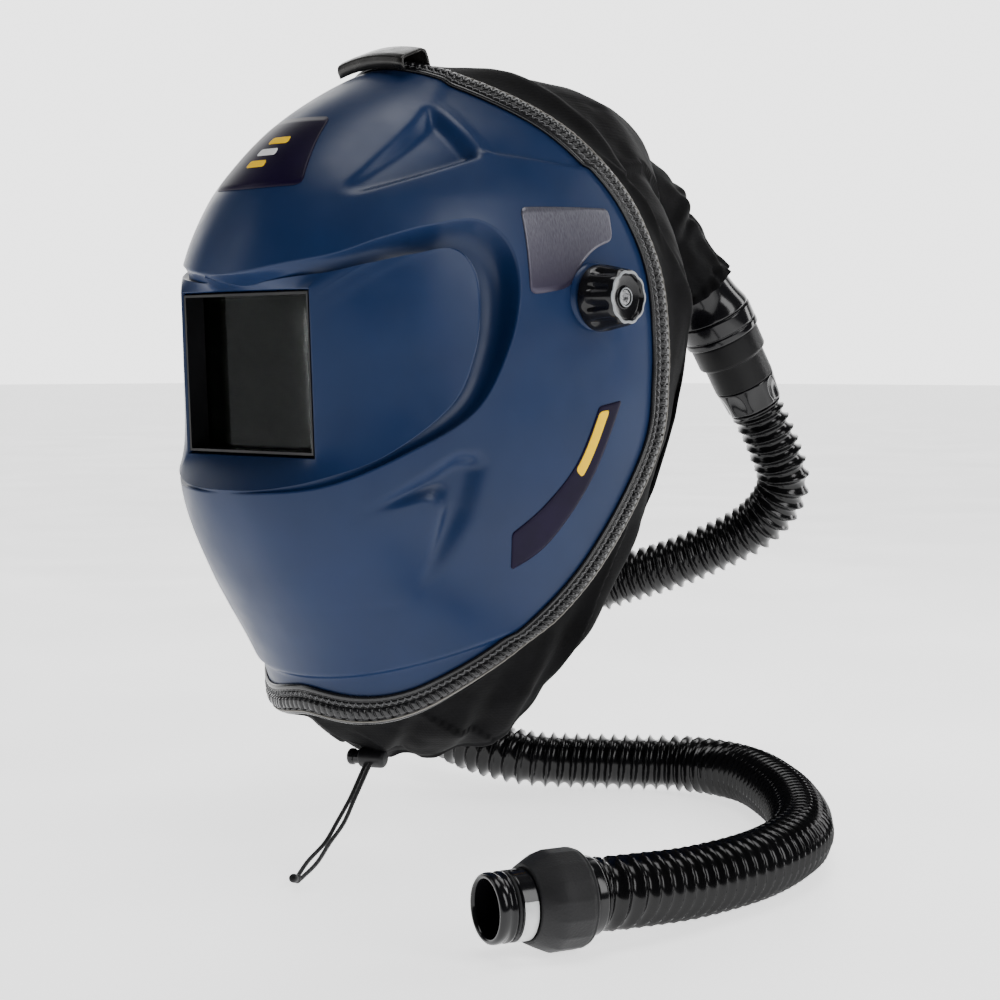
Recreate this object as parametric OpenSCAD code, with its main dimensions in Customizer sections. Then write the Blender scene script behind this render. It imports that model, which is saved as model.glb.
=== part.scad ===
// Welding head-top of a powered air respirator, with its breathing hose.
// X is the wearer's left, the window faces -Y and Z is up.
// The origin is the middle of the tilt axis, between the two side knobs.

/* [Shield] */
// Thickness of the moulded shield, along the rays that shape it
shield_wall = 3.4; // [3:0.1:4]
// Width of the window opening
window_w = 104; // [100:1:106]
// Height of the window opening
window_h = 88; // [84:1:90]
// Depth of the crescent groove beside the window, as a share of full depth
groove_share = 1; // [0.6:0.1:1.1]
// Width of the stitched edge trim on the shield
trim_w = 13; // [10:1:15]

/* [Tilt joint] */
// Half of the distance between the flat seats of the two side knobs
seat_x = 115; // [114:0.5:116]
// Diameter of the two pivot bolts
bolt_d = 8; // [6:0.5:9]
// Widest diameter of a side knob
knob_d = 37; // [32:1:38]
// Length of a side knob along the tilt axis
knob_len = 22; // [18:1:24]

/* [Filter] */
// Width of the welding filter and its two cover lenses
filter_w = 112; // [110:1:113]
// Height of the welding filter and its two cover lenses
filter_h = 94; // [92:1:95]
// Thickness of the welding filter
filter_t = 4; // [3:0.5:4]

/* [Headgear] */
// Half width of the head band
band_a = 84; // [80:1:86]
// Half length of the head band
band_b = 101; // [96:1:101]
// Height of the head band
band_h = 30; // [24:1:32]
// Diameter of the size knob at the back
size_knob_d = 38; // [32:1:42]

/* [Air supply] */
// Outer diameter of the breathing hose over its rings
hose_d = 36; // [32:1:36]
// Outer diameter of the connector that plugs into the blower
spigot_d = 33; // [30:0.5:34]
// Bore of the connector that plugs into the blower
spigot_bore = 27; // [24:0.5:28]
// Outer diameter of the grip collar at the blower end of the hose
collar_d = 47; // [44:1:47]

/* [Hidden] */
// Arc and middle, in degrees, of the blank label round the spigot.
label_arc = 84;
label_middle = 328;
navy = "#2a3f63";
black = "#151517";
centre = [0, -15, -45];
col_n = 2;

// ---- small vector helpers ----
function unit(v) = v / norm(v);
function mix(a, b, t) = a + (b - a) * t;
function cr(a, b, c, d, t) = b + (c - a) * t / 2 + (2 * a - 5 * b + 4 * c - d) * t * t / 2
    + (3 * b - a - 3 * c + d) * t * t * t / 2;
function flip(p) = [for (i = [0:len(p) - 1]) i == 0 ? -p[0] : p[i]];
function ramp(x) = x < 0 ? 0 : x > 1 ? 1 : x * x * (3 - 2 * x);

// ---- shape of the shield: level slices from chin to crown ----
// Each row is height, front, half width and roundness of one slice.
SLICES = [[-240, -108, 96, 2.1], [-205, -118, 104, 2.15], [-150, -150, 112, 2.3],
    [-105, -168, 115, 2.4], [-40, -171, 116, 2.4], [12, -169, 114, 2.35], [50, -155, 108, 2.2],
    [75, -137, 98, 2.05], [96, -114, 84, 2], [115, -84, 63, 2], [128, -56, 40, 2], [136, -28, 10, 2]];
slice_back = 45;
function row_at(v, i = 0) = i >= len(SLICES) - 2 || v < SLICES[i + 1][0] ? i : row_at(v, i + 1);
function slope(i) = let (a = SLICES[max(i - 1, 0)], b = SLICES[min(i + 1, len(SLICES) - 1)])
    (b - a) / (b[0] - a[0]);
function slice(z) = let (i = row_at(z), a = SLICES[i], b = SLICES[i + 1], h = b[0] - a[0],
    u = (z - a[0]) / h, v = 1 - u)
    a * (1 + 2 * u) * v * v + slope(i) * h * u * v * v + b * u * u * (3 - 2 * u)
    - slope(i + 1) * h * u * u * v;
function beyond(p) = p[2] > 136 || p[2] < -240 ? 1 : let (s = slice(p[2]))
    pow(abs(p[0]) / s[2], s[3]) + pow(max(slice_back - p[1], 0) / (slice_back - s[1]), s[3]) - 1;
function reach(d, lo = 60, hi = 300, n = 13) = n == 0 ? (lo + hi) / 2
    : let (m = (lo + hi) / 2) beyond(centre + d * m) < 0 ? reach(d, m, hi, n - 1) : reach(d, lo, m, n - 1);

// ---- outlines on the shield: the left half, from the top centre to the bottom centre ----
WINDOW_TOP = 3;
w2 = window_w / 2;
wb = WINDOW_TOP - window_h;
function window_y(z) = -153.9 + (WINDOW_TOP - z) * 0.043;
WINDOW = [for (q = [[0, 0], [0.5, 0], [1, 0], [1, 0.07], [1, 0.15], [1, 0.24], [1, 0.35], [1, 0.46],
    [1, 0.6], [1, 0.74], [1, 0.88], [1, 1], [0.5, 1], [0, 1]])
    let (z = mix(WINDOW_TOP, wb, q[1])) [w2 * q[0], window_y(z), z, 0]];
PANEL = [[0, -168, 9, 0], [26, -164, 9.5, 0], [57, -149.5, 11, 0], [73, -133, 16, 0],
    [85, -111, 21, 0], [93, -90, 24, 0], [99, -80, 14, 0], [101, -78, -6, 0], [101, -82, -31, 0],
    [96, -94, -57, 0], [81, -125, -82, 0], [59, -149, -94, 0], [26, -165, -101, 0], [0, -168, -102, 0]];
// The fourth number is the depth of the crescent groove there.
GROOVE = [[0, -169, 11, 0], [26, -166, 13, 1], [58, -148, 20, 3], [74, -124, 29, 6],
    [86, -99, 37, 10], [95, -73, 40, 13], [102, -57, 28, 15], [106, -53, 5, 15], [106, -61, -27, 13],
    [101, -82, -61, 9], [84, -119, -83, 5], [60, -148, -98, 2.5], [27, -166, -103, 1], [0, -168.5, -104, 0]];
RIM = [[0, -47, 133, 0], [30, -36, 126, 0], [55, -19, 112, 0], [80, 4, 95, 0], [98, 24, 72, 0],
    [110, 43, 42, 0], [114, 54, 15, 0], [116, 58, -12, 0], [116, 58, -45, 0], [115, 50, -84, 0],
    [111, 8, -143, 0], [98, -35, -186, 0], [68, -76, -218, 0], [0, -114, -233, 0]];
function round_trip(h) = concat(h, [for (i = [len(h) - 2:-1:1]) flip(h[i])]);
function loop(half, smooth = true) = let (p = round_trip(half), n = len(p))
    [for (i = [0:n - 1]) for (k = [0:col_n - 1]) smooth
        ? cr(p[(i + n - 1) % n], p[i], p[(i + 1) % n], p[(i + 2) % n], k / col_n)
        : mix(p[i], p[(i + 1) % n], k / col_n)];
function spot(p) = [p[0], p[1], p[2]];
function aim(p) = unit(spot(p) - centre);
function on_shield(p, down = 0) = let (d = aim(p)) centre + d * (reach(d) - down);

window_l = loop(WINDOW, false);
panel_l = loop(PANEL);
groove_l = loop(GROOVE);
rim_l = loop(RIM);
cols = len(rim_l);
window_gap = [for (p = window_l) reach(aim(p)) - norm(spot(p) - centre)];

// Soft dents: the cheek groove below the crescent and the scoop high on each side.
CHEEK = [[-125, -109, 3], [-97, -95, 9], [-87, -101, 10], [-92, -123, 9], [-98, -140, 7], [-104, -158, 3]];
SCOOP = [[-127, 56, 5], [-105, 69, 11], [-84, 79, 15], [-70, 85, 17]];
function seg_dist(q, a, b) = let (u = [b[0] - a[0], b[1] - a[1]], w = [q[0] - a[0], q[1] - a[1]],
    t = max(0, min(1, (w * u) / (u * u)))) norm(w - u * t) / mix(a[2], b[2], t);
function dent(p, line, depth) =
    let (d = min([for (i = [0:len(line) - 2]) seg_dist([p[1], p[2]], line[i], line[i + 1])]))
    depth * ramp(1.15 - d);
function chin_step(p) = 2.5 * ramp((-206 + (p[1] + 118) * 0.357 - p[2]) / 5) * ramp((-20 - p[1]) / 20);
function dents(p) = dent(p, CHEEK, 5) + (abs(p[0]) > 40 ? dent(p, SCOOP, 6) : 0) + chin_step(p);

// Rings of points from the window to the rim.
SIDE_RINGS = 7;
trim_part = [for (j = [0:cols - 1]) 1 - trim_w / norm(on_shield(rim_l[j]) - on_shield(groove_l[j]))];
function groove_ring(f, share) = [for (j = [0:cols - 1])
    on_shield(mix(panel_l[j], groove_l[j], f), groove_l[j][3] * share * groove_share)];
function side_ring(f) = [for (j = [0:cols - 1])
    let (p = on_shield(mix(groove_l[j], rim_l[j], f * trim_part[j])))
    p - unit(p - centre) * dents(p)];
outer_rings = concat(
    [[for (p = window_l) spot(p)]],
    [[for (j = [0:cols - 1]) on_shield(mix(window_l[j], panel_l[j], 0.5), window_gap[j] * 0.5)]],
    [groove_ring(0, 0), groove_ring(0.18, 0.85), groove_ring(0.5, 1), groove_ring(0.85, 0.65),
        groove_ring(1, 0)],
    [for (r = [1:SIDE_RINGS]) side_ring(r / SIDE_RINGS)],
    [[for (p = rim_l) on_shield(p, 0) - aim(p) * chin_step(p)]]);
ring_n = len(outer_rings);
inner_rings = [for (r = outer_rings) [for (p = r) p - unit(p - centre) * shield_wall]];

// A closed skin between two matching sets of closed rings.
module ring_skin(a, b) {
    n = len(a[0]);
    m = len(a);
    pts = concat([for (r = a) each r], [for (r = b) each r]);
    function at(side, i, j) = side * m * n + i * n + j % n;
    faces = concat(
        [for (i = [0:m - 2]) for (j = [0:n - 1]) each [[at(0, i, j), at(0, i, j + 1), at(0, i + 1, j + 1)],
            [at(0, i, j), at(0, i + 1, j + 1), at(0, i + 1, j)]]],
        [for (i = [0:m - 2]) for (j = [0:n - 1]) each [[at(1, i, j), at(1, i + 1, j + 1), at(1, i, j + 1)],
            [at(1, i, j), at(1, i + 1, j), at(1, i + 1, j + 1)]]],
        [for (j = [0:n - 1]) each [[at(0, 0, j), at(1, 0, j + 1), at(0, 0, j + 1)],
            [at(0, 0, j), at(1, 0, j), at(1, 0, j + 1)]]],
        [for (j = [0:n - 1]) each [[at(0, m - 1, j), at(0, m - 1, j + 1), at(1, m - 1, j + 1)],
            [at(0, m - 1, j), at(1, m - 1, j + 1), at(1, m - 1, j)]]]);
    polyhedron(pts, faces, convexity = 10);
}

// A closed strip of skin between two matching sets of open rows.
module row_skin(a, b) {
    n = len(a[0]);
    m = len(a);
    pts = concat([for (r = a) each r], [for (r = b) each r]);
    function at(side, i, j) = side * m * n + i * n + j;
    function quad(p, q, r, s) = [[p, q, r], [p, r, s]];
    faces = concat(
        [for (i = [0:m - 2]) for (j = [0:n - 2])
            each quad(at(0, i, j), at(0, i, j + 1), at(0, i + 1, j + 1), at(0, i + 1, j))],
        [for (i = [0:m - 2]) for (j = [0:n - 2])
            each quad(at(1, i, j), at(1, i + 1, j), at(1, i + 1, j + 1), at(1, i, j + 1))],
        [for (j = [0:n - 2]) each quad(at(0, 0, j), at(1, 0, j), at(1, 0, j + 1), at(0, 0, j + 1))],
        [for (j = [0:n - 2])
            each quad(at(0, m - 1, j), at(0, m - 1, j + 1), at(1, m - 1, j + 1), at(1, m - 1, j))],
        [for (i = [0:m - 2]) each quad(at(0, i, 0), at(0, i + 1, 0), at(1, i + 1, 0), at(1, i, 0))],
        [for (i = [0:m - 2])
            each quad(at(0, i, n - 1), at(1, i, n - 1), at(1, i + 1, n - 1), at(0, i + 1, n - 1))]);
    polyhedron(pts, faces, convexity = 10);
}

// ---- tubes along a route ----
// Points of the route are worked out between its hand-set points; radii follow along.
function smooth_route(p, per) = let (n = len(p)) concat([for (i = [0:n - 2]) for (k = [0:per - 1])
    cr(p[max(i - 1, 0)], p[i], p[i + 1], p[min(i + 2, n - 1)], k / per)], [p[n - 1]]);
function heading(p, i) = unit(spot(p[min(i + 1, len(p) - 1)]) - spot(p[max(i - 1, 0)]));
function carry(p, i, last) = let (t = heading(p, i)) unit(last - t * (last * t));
function frames(p, i = 0, last = [0, 0.1, 1], acc = []) = i == len(p) ? acc
    : let (u = carry(p, i, last)) frames(p, i + 1, u, concat(acc, [[u, cross(heading(p, i), u)]]));
function tube_rings(p, sides, radii) = let (f = frames(p)) [for (i = [0:len(p) - 1]) [for (k = [0:sides - 1])
    spot(p[i]) + f[i][0] * radii[i] * cos(360 * k / sides) + f[i][1] * radii[i] * sin(360 * k / sides)]];
module solid_tube(p, sides, radii) {
    rings = tube_rings(p, sides, radii);
    m = len(rings);
    faces = concat([for (i = [0:m - 2]) for (k = [0:sides - 1]) each
        [[i * sides + k, (i + 1) * sides + k, (i + 1) * sides + (k + 1) % sides],
        [i * sides + k, (i + 1) * sides + (k + 1) % sides, i * sides + (k + 1) % sides]]],
        [[for (k = [0:sides - 1]) k]], [[for (k = [sides - 1:-1:0]) (m - 1) * sides + k]]);
    polyhedron([for (r = rings) each r], faces, convexity = 10);
}
function evens(v, n) = [for (i = [0:n - 1]) v];

// ---- shield and its trim ----
module each_side() {
    children();
    mirror([1, 0, 0]) children();
}
module along_x(x) {
    translate([x, 0, 0]) rotate([0, 90, 0]) children();
}
bush_d = 16;
pad_d = 36;
module shield_shell() color(navy) difference() {
    union() {
        ring_skin(inner_rings, outer_rings);
        each_side() along_x(108) cylinder(d = pad_d, h = seat_x - 108.2, $fn = 48);
    }
    each_side() along_x(100) cylinder(d = bush_d + 0.2, h = 20, $fn = 48);
    each_side() along_x(seat_x) cylinder(d = 44, h = 6, $fn = 48);
    each_side() along_x(104) cylinder(d = 44, h = 4, $fn = 48);
}
trim_gap = 0.4;
trim_t = 3.6;
function rim_frame(j) = let (a = outer_rings[ring_n - 2][j], b = outer_rings[ring_n - 1][j],
    t = outer_rings[ring_n - 1][(j + 1) % cols] - outer_rings[ring_n - 1][(j + cols - 1) % cols],
    s = unit(b - a), n = unit(cross(t, s)), o = n * (b - centre) > 0 ? n : -n) [a, b, s, o];
function trim_section(j) = let (f = rim_frame(j), a = f[0], b = f[1], s = f[2], n = f[3],
    ia = mix(inner_rings[ring_n - 1][j], inner_rings[ring_n - 2][j], 0.5), ib = inner_rings[ring_n - 1][j])
    [a + n * trim_gap, a + n * trim_t, b + n * (trim_t + 0.6) + s * 3.5, ib - n * 3 + s * 3.5,
    ia - n * 3, ia - n * trim_gap, ib - n * trim_gap + s * trim_gap, b + n * trim_gap + s * trim_gap];
module rim_trim() color(black) {
    sec = [for (j = [0:cols - 1]) trim_section(j)];
    m = cols;
    k = 8;
    faces = [for (j = [0:m - 1]) for (i = [0:k - 1]) each
        [[j * k + i, j * k + (i + 1) % k, ((j + 1) % m) * k + (i + 1) % k],
        [j * k + i, ((j + 1) % m) * k + (i + 1) % k, ((j + 1) % m) * k + i]]];
    polyhedron([for (s = sec) each s], faces, convexity = 10);
}
// Sheet metal clip folded over the trim at the crown.
module rim_clip() color("#3a3a3c") translate([0, -51.4, 133.9]) rotate([20, 0, 0]) rotate([90, 0, 90]) {
    translate([0, 0, -26]) linear_extrude(52) difference() {
        polygon([[-11, 1.2], [-11, 4.4], [-9.5, 6], [9, 6], [10.6, 4.4], [10.6, -9], [8.9, -9], [8.9, 1.2]]);
        polygon([[-11.1, 1], [-11.1, 2.7], [-9, 4.3], [8.9, 4.3], [8.9, 1]]);
    }
}

// ---- labels: thin plates that follow the shield ----
// A label is a patch of the shield between two rows of (side view) points.
function side_point(q, lift) = let (s = slice(q[1]), y = max(slice_back - q[0], 0) / (slice_back - s[1]),
    x = s[2] * pow(max(1 - pow(y, s[3]), 0), 1 / s[3]), p = [x, q[0], q[1]])
    p + unit([x, (q[0] - slice_back) * 0.35, 0]) * lift;
function patch(top, low, n, m, lift) = [for (i = [0:m]) [for (j = [0:n]) side_point(mix(
    mix(top[0], top[1], j / n), mix(low[0], low[1], j / n), i / m), lift)]];
module side_plate(top, low, n, m) {
    row_skin(patch(top, low, n, m, 0.9), patch(top, low, n, m, 0.35));
}
module side_labels() color("#7d7a8c") each_side()
    side_plate([[-45, 47], [14, 50]], [[-42, 4], [-24, 4]], 6, 5);
STRIP = [[[-57, -127], [-55, -145]], [[-36, -112], [-33, -131]], [[-14, -89], [-2, -97]],
    [[2, -58], [18, -58]]];
module strip_labels() color("#251c3a") each_side() {
    rows = smooth_route(STRIP, 2);
    row_skin([for (r = rows) [for (k = [0:2]) side_point(mix(r[0], r[1], k / 2), 0.35)]],
        [for (r = rows) [for (k = [0:2]) side_point(mix(r[0], r[1], k / 2), 0.9)]]);
}
function brow_point(x, z, lift) = let (s = slice(z),
    y = slice_back - (slice_back - s[1]) * pow(1 - pow(abs(x) / s[2], s[3]), 1 / s[3]))
    [x, y, z] + unit([x * 0.3, -1, 0.55]) * lift;
function brow_rows(lift) = [for (i = [0:5]) [for (j = [-4:4])
    brow_point(j / 4 * mix(34, 19, i / 5), mix(56, 96, i / 5), lift)]];
module brow_label() color("#251c3a") row_skin(brow_rows(0.35), brow_rows(0.9));

// ---- filter stack behind the window ----
module at_window() {
    translate([0, window_y(mix(WINDOW_TOP, wb, 0.5)), mix(WINDOW_TOP, wb, 0.5)])
    rotate([2.4, 0, 0]) children();
}
module slab(w, h, y0, y1) {
    translate([-w / 2, y0, -h / 2]) cube([w, y1 - y0, h]);
}
frame_w = filter_w + 8;
frame_h = filter_h + 8;
module filter_frame() color(black) at_window() difference() {
    union() {
        slab(window_w - 3.4, window_h - 3.4, 0.6, 14);
        slab(frame_w - 6, frame_h - 4, 11.5, 15);
        slab(frame_w, frame_h, 14, 23);
    }
    slab(window_w - 6, window_h - 6, -1, 30);
    slab(filter_w + 0.6, filter_h + 0.6, 13, 30);
    for (x = [-1, 1]) translate([x * 48, 20.4, frame_h / 2 - 4]) cube([9, 12, 12], center = true);
    for (x = [-1, 1]) translate([x * (frame_w / 2 - 5), 20.4, frame_h / 2 - 2.2]) rotate([0, 90, 0])
        cylinder(d = 2.2, h = 14, center = true, $fn = 24);
}
module cover_lens() color("#7f8a90") at_window() slab(filter_w, filter_h, 13.1, 14.6);
module welding_filter() color("#101a14") at_window() slab(filter_w, filter_h, 14.8, 14.8 + filter_t);
module inner_lens() color("#7f8a90") at_window() slab(filter_w, filter_h - 2, 19, 20);
module retainer_pin() color("silver") at_window() for (x = [-1, 1])
    translate([x * (frame_w / 2 - 5), 20.4, frame_h / 2 - 2.2])
    rotate([0, 90, 0]) cylinder(d = 2.1, h = 9.6, center = true, $fn = 24);
module filter_retainer() color("#2b2b2e") at_window() difference() {
    union() {
        slab(filter_w - 2, filter_h - 2, 20.6, 22.8);
        for (x = [-1, 1]) translate([x * 48, 20.4, frame_h / 2 - 2.2]) rotate([0, 90, 0])
            cylinder(d = 4.4, h = 8, center = true, $fn = 32);
        for (x = [-1, 1]) translate([x * 48 - 4, 20.6, frame_h / 2 - 6]) cube([8, 1.6, 4]);
    }
    slab(window_w - 8, window_h - 8, 19, 24);
    for (x = [-1, 1]) translate([x * 48, 20.4, frame_h / 2 - 2.2]) rotate([0, 90, 0])
        cylinder(d = 2.2, h = 9, center = true, $fn = 24);
}

// ---- tilt joint ----
arm_x = 100;
module pivot_bushes() color("#3c3c40") each_side() difference() {
    union() {
        along_x(104.3) cylinder(d = 30, h = 3.5, $fn = 48);
        along_x(107.6) cylinder(d = bush_d, h = seat_x - 107.6, $fn = 48);
    }
    along_x(100) cylinder(d = bolt_d + 0.1, h = 20, $fn = 48);
}
module friction_washers() color("#8a8a80") each_side() difference() {
    along_x(103.1) cylinder(d = 26, h = 1, $fn = 48);
    along_x(102) cylinder(d = bolt_d + 0.1, h = 4, $fn = 48);
}
module pivot_bolts() color("silver") each_side() difference() {
    union() {
        along_x(96.6) cylinder(d = 15, h = 3.3, $fn = 48);
        along_x(99.8) cylinder(d = bolt_d, h = seat_x + 19.8 - 99.8, $fn = 48);
    }
    along_x(seat_x + 16) cylinder(d = bolt_d - 3, h = 6, $fn = 32);
    along_x(96) cylinder(d = 6, h = 2.4, $fn = 6);
}
KNOB_X = seat_x + 0.6;
module knob() color(black) difference() {
    rotate_extrude($fn = 64) polygon([[0, 0], [knob_d / 2 - 1, 0], [knob_d / 2, 1.2], [knob_d / 2 - 0.4, 5],
        [knob_d / 2 - 3.6, knob_len - 2.4], [knob_d / 2 - 4.6, knob_len], [knob_d / 2 - 6.2, knob_len],
        [knob_d / 2 - 7, knob_len - 1.8], [6, knob_len - 3.4], [0, knob_len - 3.4]]);
    for (a = [0:36:359]) rotate(a) translate([knob_d / 2 + 1.6, 0, -1]) rotate([0, -8, 0])
        cylinder(d = 6, h = knob_len + 4, $fn = 24);
    translate([0, 0, -1]) cylinder(d = bolt_d + 0.1, h = knob_len + 2, $fn = 48);
}
module knob_left() along_x(KNOB_X) knob();
module knob_right() mirror([1, 0, 0]) along_x(KNOB_X) knob();
module side_arm() color("#2a2a2d") difference() {
    union() {
        along_x(arm_x) cylinder(d = 32, h = 3, $fn = 48);
        hull() {
            translate([arm_x, -7, 0]) cube([3, 22, 4]);
            translate([arm_x, 2, 34]) cube([3, 22, 4]);
        }
        translate([band_a + 0.3, 4, 18]) cube([arm_x + 0.5 - band_a, 18, 16]);
        translate([band_a + 0.3, -2, 16]) cube([3, 30, 24]);
    }
    along_x(arm_x - 1) cylinder(d = bolt_d + 0.1, h = 5, $fn = 48);
}
module side_arm_left() side_arm();
module side_arm_right() mirror([1, 0, 0]) side_arm();

// ---- headgear ----
band_y = 13;
band_z = 14;
band_t = 2.6;
function arc_pts(a, b, from, to, n) = [for (i = [0:n])
    let (w = mix(from, to, i / n)) [a * cos(w), band_y + b * sin(w)]];
module band_arc(out, thick, from, to, z0, h, n = 48) {
    translate([0, 0, z0]) linear_extrude(h) polygon(concat(arc_pts(band_a - out, band_b - out, from, to, n),
        arc_pts(band_a - out - thick, band_b - out - thick, to, from, n)));
}
module headband() color("#202023") translate([0, 0, band_z]) linear_extrude(band_h) difference() {
    polygon(arc_pts(band_a, band_b, 0, 355, 71));
    polygon(arc_pts(band_a - band_t, band_b - band_t, 0, 355, 71));
}
module sweatband() color("#3a3a40") band_arc(band_t + 0.3, 4, 205, 335, band_z + 1, band_h - 2);
module nape_pad() color("#3a3a40") band_arc(band_t + 0.3, 5, 58, 122, band_z + 1, band_h - 2, 24);
module crown_strap(y, w, top) {
    reach_x = band_a * sqrt(1 - pow((y - band_y) / band_b, 2)) - band_t / 2;
    rise = top - band_z - band_h;
    color("#202023") translate([0, y + w / 2, band_z + band_h]) rotate([90, 0, 0]) linear_extrude(w)
        polygon(concat([for (a = [0:6:180]) [(reach_x + 1) * cos(a), rise * sin(a)]],
            [for (a = [180:-6:0]) [(reach_x - 1) * cos(a), (rise - 2) * sin(a)]]));
}
module crown_strap_front() crown_strap(-22, 14, 88);
module crown_strap_rear() crown_strap(42, 14, 86);
RATCHET = [0, band_y + band_b + 0.4, band_z + band_h / 2];
module ratchet_housing() color("#26262a") translate(RATCHET) difference() {
    union() {
        translate([-30, 0, -14]) cube([60, 3, 28]);
        rotate([-90, 0, 0]) cylinder(d = 30, h = 12, $fn = 48);
    }
    translate([0, 2.4, 0]) rotate([-90, 0, 0]) cylinder(d = 20, h = 7, $fn = 48);
    rotate([-90, 0, 0]) cylinder(d = 8.1, h = 20, $fn = 48);
}
module ratchet_pinion() color("silver") translate(RATCHET + [0, 3, 0]) rotate([-90, 0, 0])
linear_extrude(5.6) difference() {
    polygon([for (i = [0:31]) let (r = i % 4 < 2 ? 7.4 : 5.6, a = i * 360 / 32) [r * cos(a), r * sin(a)]]);
    circle(d = 8, $fn = 48);
}
module ratchet_knob() color(black) translate(RATCHET + [0, 12.4, 0]) rotate([-90, 0, 0]) {
    difference() {
        union() {
            cylinder(d = size_knob_d, h = 12, $fn = 64);
            translate([0, 0, 12]) cylinder(d1 = size_knob_d, d2 = size_knob_d - 5, h = 2.5, $fn = 64);
        }
        for (a = [0:20:359]) rotate(a)
            translate([size_knob_d / 2 + 0.8, 0, -1]) cylinder(d = 4, h = 18, $fn = 24);
        translate([0, 0, 12.8]) cylinder(d = 20, h = 3, $fn = 48);
    }
    translate([0, 0, -11.8]) cylinder(d = 8, h = 12.4, $fn = 48);
}

// ---- air supply: duct, elbow and swivel coupling ----
DUCT = [[0, -72, 92, 20], [0, -50, 97, 20], [0, -20, 99, 20], [0, 20, 100, 20], [0, 58, 98, 20],
    [0, 92, 94, 19], [2, 125, 78, 18], [7, 162, 55, 17.5], [12.9, 196.2, 29.7, 17.3],
    [17.2, 210.2, 17.8, 17.3]];
// The duct is flat over the crown and round where it meets the elbow.
duct_p = smooth_route(DUCT, 2);
function duct_rings(cut) = let (f = frames(duct_p), n = 20)
    [for (i = [0:len(duct_p) - 1]) [for (k = [0:n - 1])
    spot(duct_p[i]) + f[i][0] * (duct_p[i][3] * mix(0.5, 1, ramp((i - 7) / 6)) - cut) * cos(360 * k / n)
    + f[i][1] * (duct_p[i][3] - cut) * sin(360 * k / n)]];
module air_duct() color("#1d1d20") ring_skin(duct_rings(1.8), duct_rings(0));
COUPLE = [22, 226, -3];
swing = -17;
lean = 30;
module at_coupling(down = 0) {
    translate(COUPLE) rotate([0, 0, swing]) rotate([lean, 0, 0]) rotate([180, 0, 0])
    translate([0, 0, down]) children();
}
elbow_r = 90;
elbow_arc = 22;
// A bent pipe that ends at the coupling, from one angle of the bend to another.
module bent_pipe(from, to, d, bore) {
    at_coupling() translate([0, elbow_r, 0]) rotate([-90, 0, -90]) rotate([0, 0, from])
        rotate_extrude(angle = to - from, $fn = 96) translate([elbow_r, 0]) difference() {
            circle(d = d, $fn = 48);
            circle(d = bore, $fn = 48);
        }
}
module inlet_elbow() color("#222226") bent_pipe(0, elbow_arc, 41, 36);
module pipe(d, bore, h) {
    difference() {
        cylinder(d = d, h = h, $fn = 64);
        translate([0, 0, -1]) cylinder(d = bore, h = h + 2, $fn = 64);
    }
}
module elbow_ring() color("#2a2a2e") at_coupling(0) difference() {
    rotate_extrude($fn = 64) polygon([[17, 0], [22, 0], [24.4, 2.4], [24.8, 5], [24.8, 16],
        [21, 16], [21, 14.5], [17, 14.5]]);
    translate([0, 0, -1]) cylinder(r = 17, h = 20, $fn = 64);
}
module inlet_seal() color("#402020") at_coupling(14.6) pipe(41.6, 36, 1.3);
module swivel_collar() color("#1f1f22") at_coupling(16.2) difference() {
    union() {
        cylinder(d = 46, h = 15.8, $fn = 64);
        translate([0, 0, 15.8]) cylinder(d = 40.5, h = 19, $fn = 64);
    }
    translate([0, 0, -1]) cylinder(d = 34.1, h = 40, $fn = 64);
}
module upper_cuff() color(black) at_coupling(17) difference() {
    union() {
        cylinder(d = 34, h = 34.4, $fn = 64);
        translate([0, 0, 34.3]) cylinder(d1 = 40, d2 = 36.6, h = 17.7, $fn = 64);
    }
    translate([0, 0, -1]) cylinder(d = 27, h = 60, $fn = 64);
}

// ---- breathing hose ----
HOSE = [[32.2, 259.4, -63.4], [36.5, 274, -90], [36, 286, -118], [12, 286, -146], [-32, 268, -170],
    [-80, 248, -188], [-125, 216, -208], [-148, 170, -230], [-136, 124, -254], [-94, 98, -276],
    [-42, 108, -287], [4, 142, -289], [46, 170, -289], [92, 168, -289], [138, 138, -289], [182, 96, -289],
    [220, 44, -289], [238, -14, -289], [240, -72, -288], [237, -119, -284.5], [231.1, -140, -283.5]];
hose_sides = 12;
module breathing_hose() color("#101012") {
    p = smooth_route(HOSE, 3);
    solid_tube(p, hose_sides, evens(hose_d / 2, len(p)));
}
PLUG = [231, -140.3, -283.5];
plug_turn = -19.3;
module at_plug(out = 0) {
    translate(PLUG) rotate([0, 0, plug_turn]) rotate([90, 0, 0]) translate([0, 0, out]) children();
}
module lower_cuff() color(black) at_plug() difference() {
    union() {
        cylinder(d = 37.4, h = 7, $fn = 64);
        cylinder(d = 30, h = 30, $fn = 64);
    }
    translate([0, 0, -1]) cylinder(d = 25, h = 40, $fn = 64);
}
module grip_collar() color("#1c1c1e") at_plug(7.3) difference() {
    intersection() {
        rotate_extrude($fn = 64) polygon([[0, 0], [collar_d / 2 - 1.4, 0], [collar_d / 2, 1.6],
            [collar_d / 2, 17],
            [18.6, 27], [18.6, 28], [0, 28]]);
        rotate(11.25) cylinder(d = collar_d * 1.012, h = 40, $fn = 16);
    }
    translate([0, 0, -1]) cylinder(d = 30.1, h = 24, $fn = 64);
    translate([0, 0, 22.8]) cylinder(d = spigot_d + 0.1, h = 10, $fn = 64);
}
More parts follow.
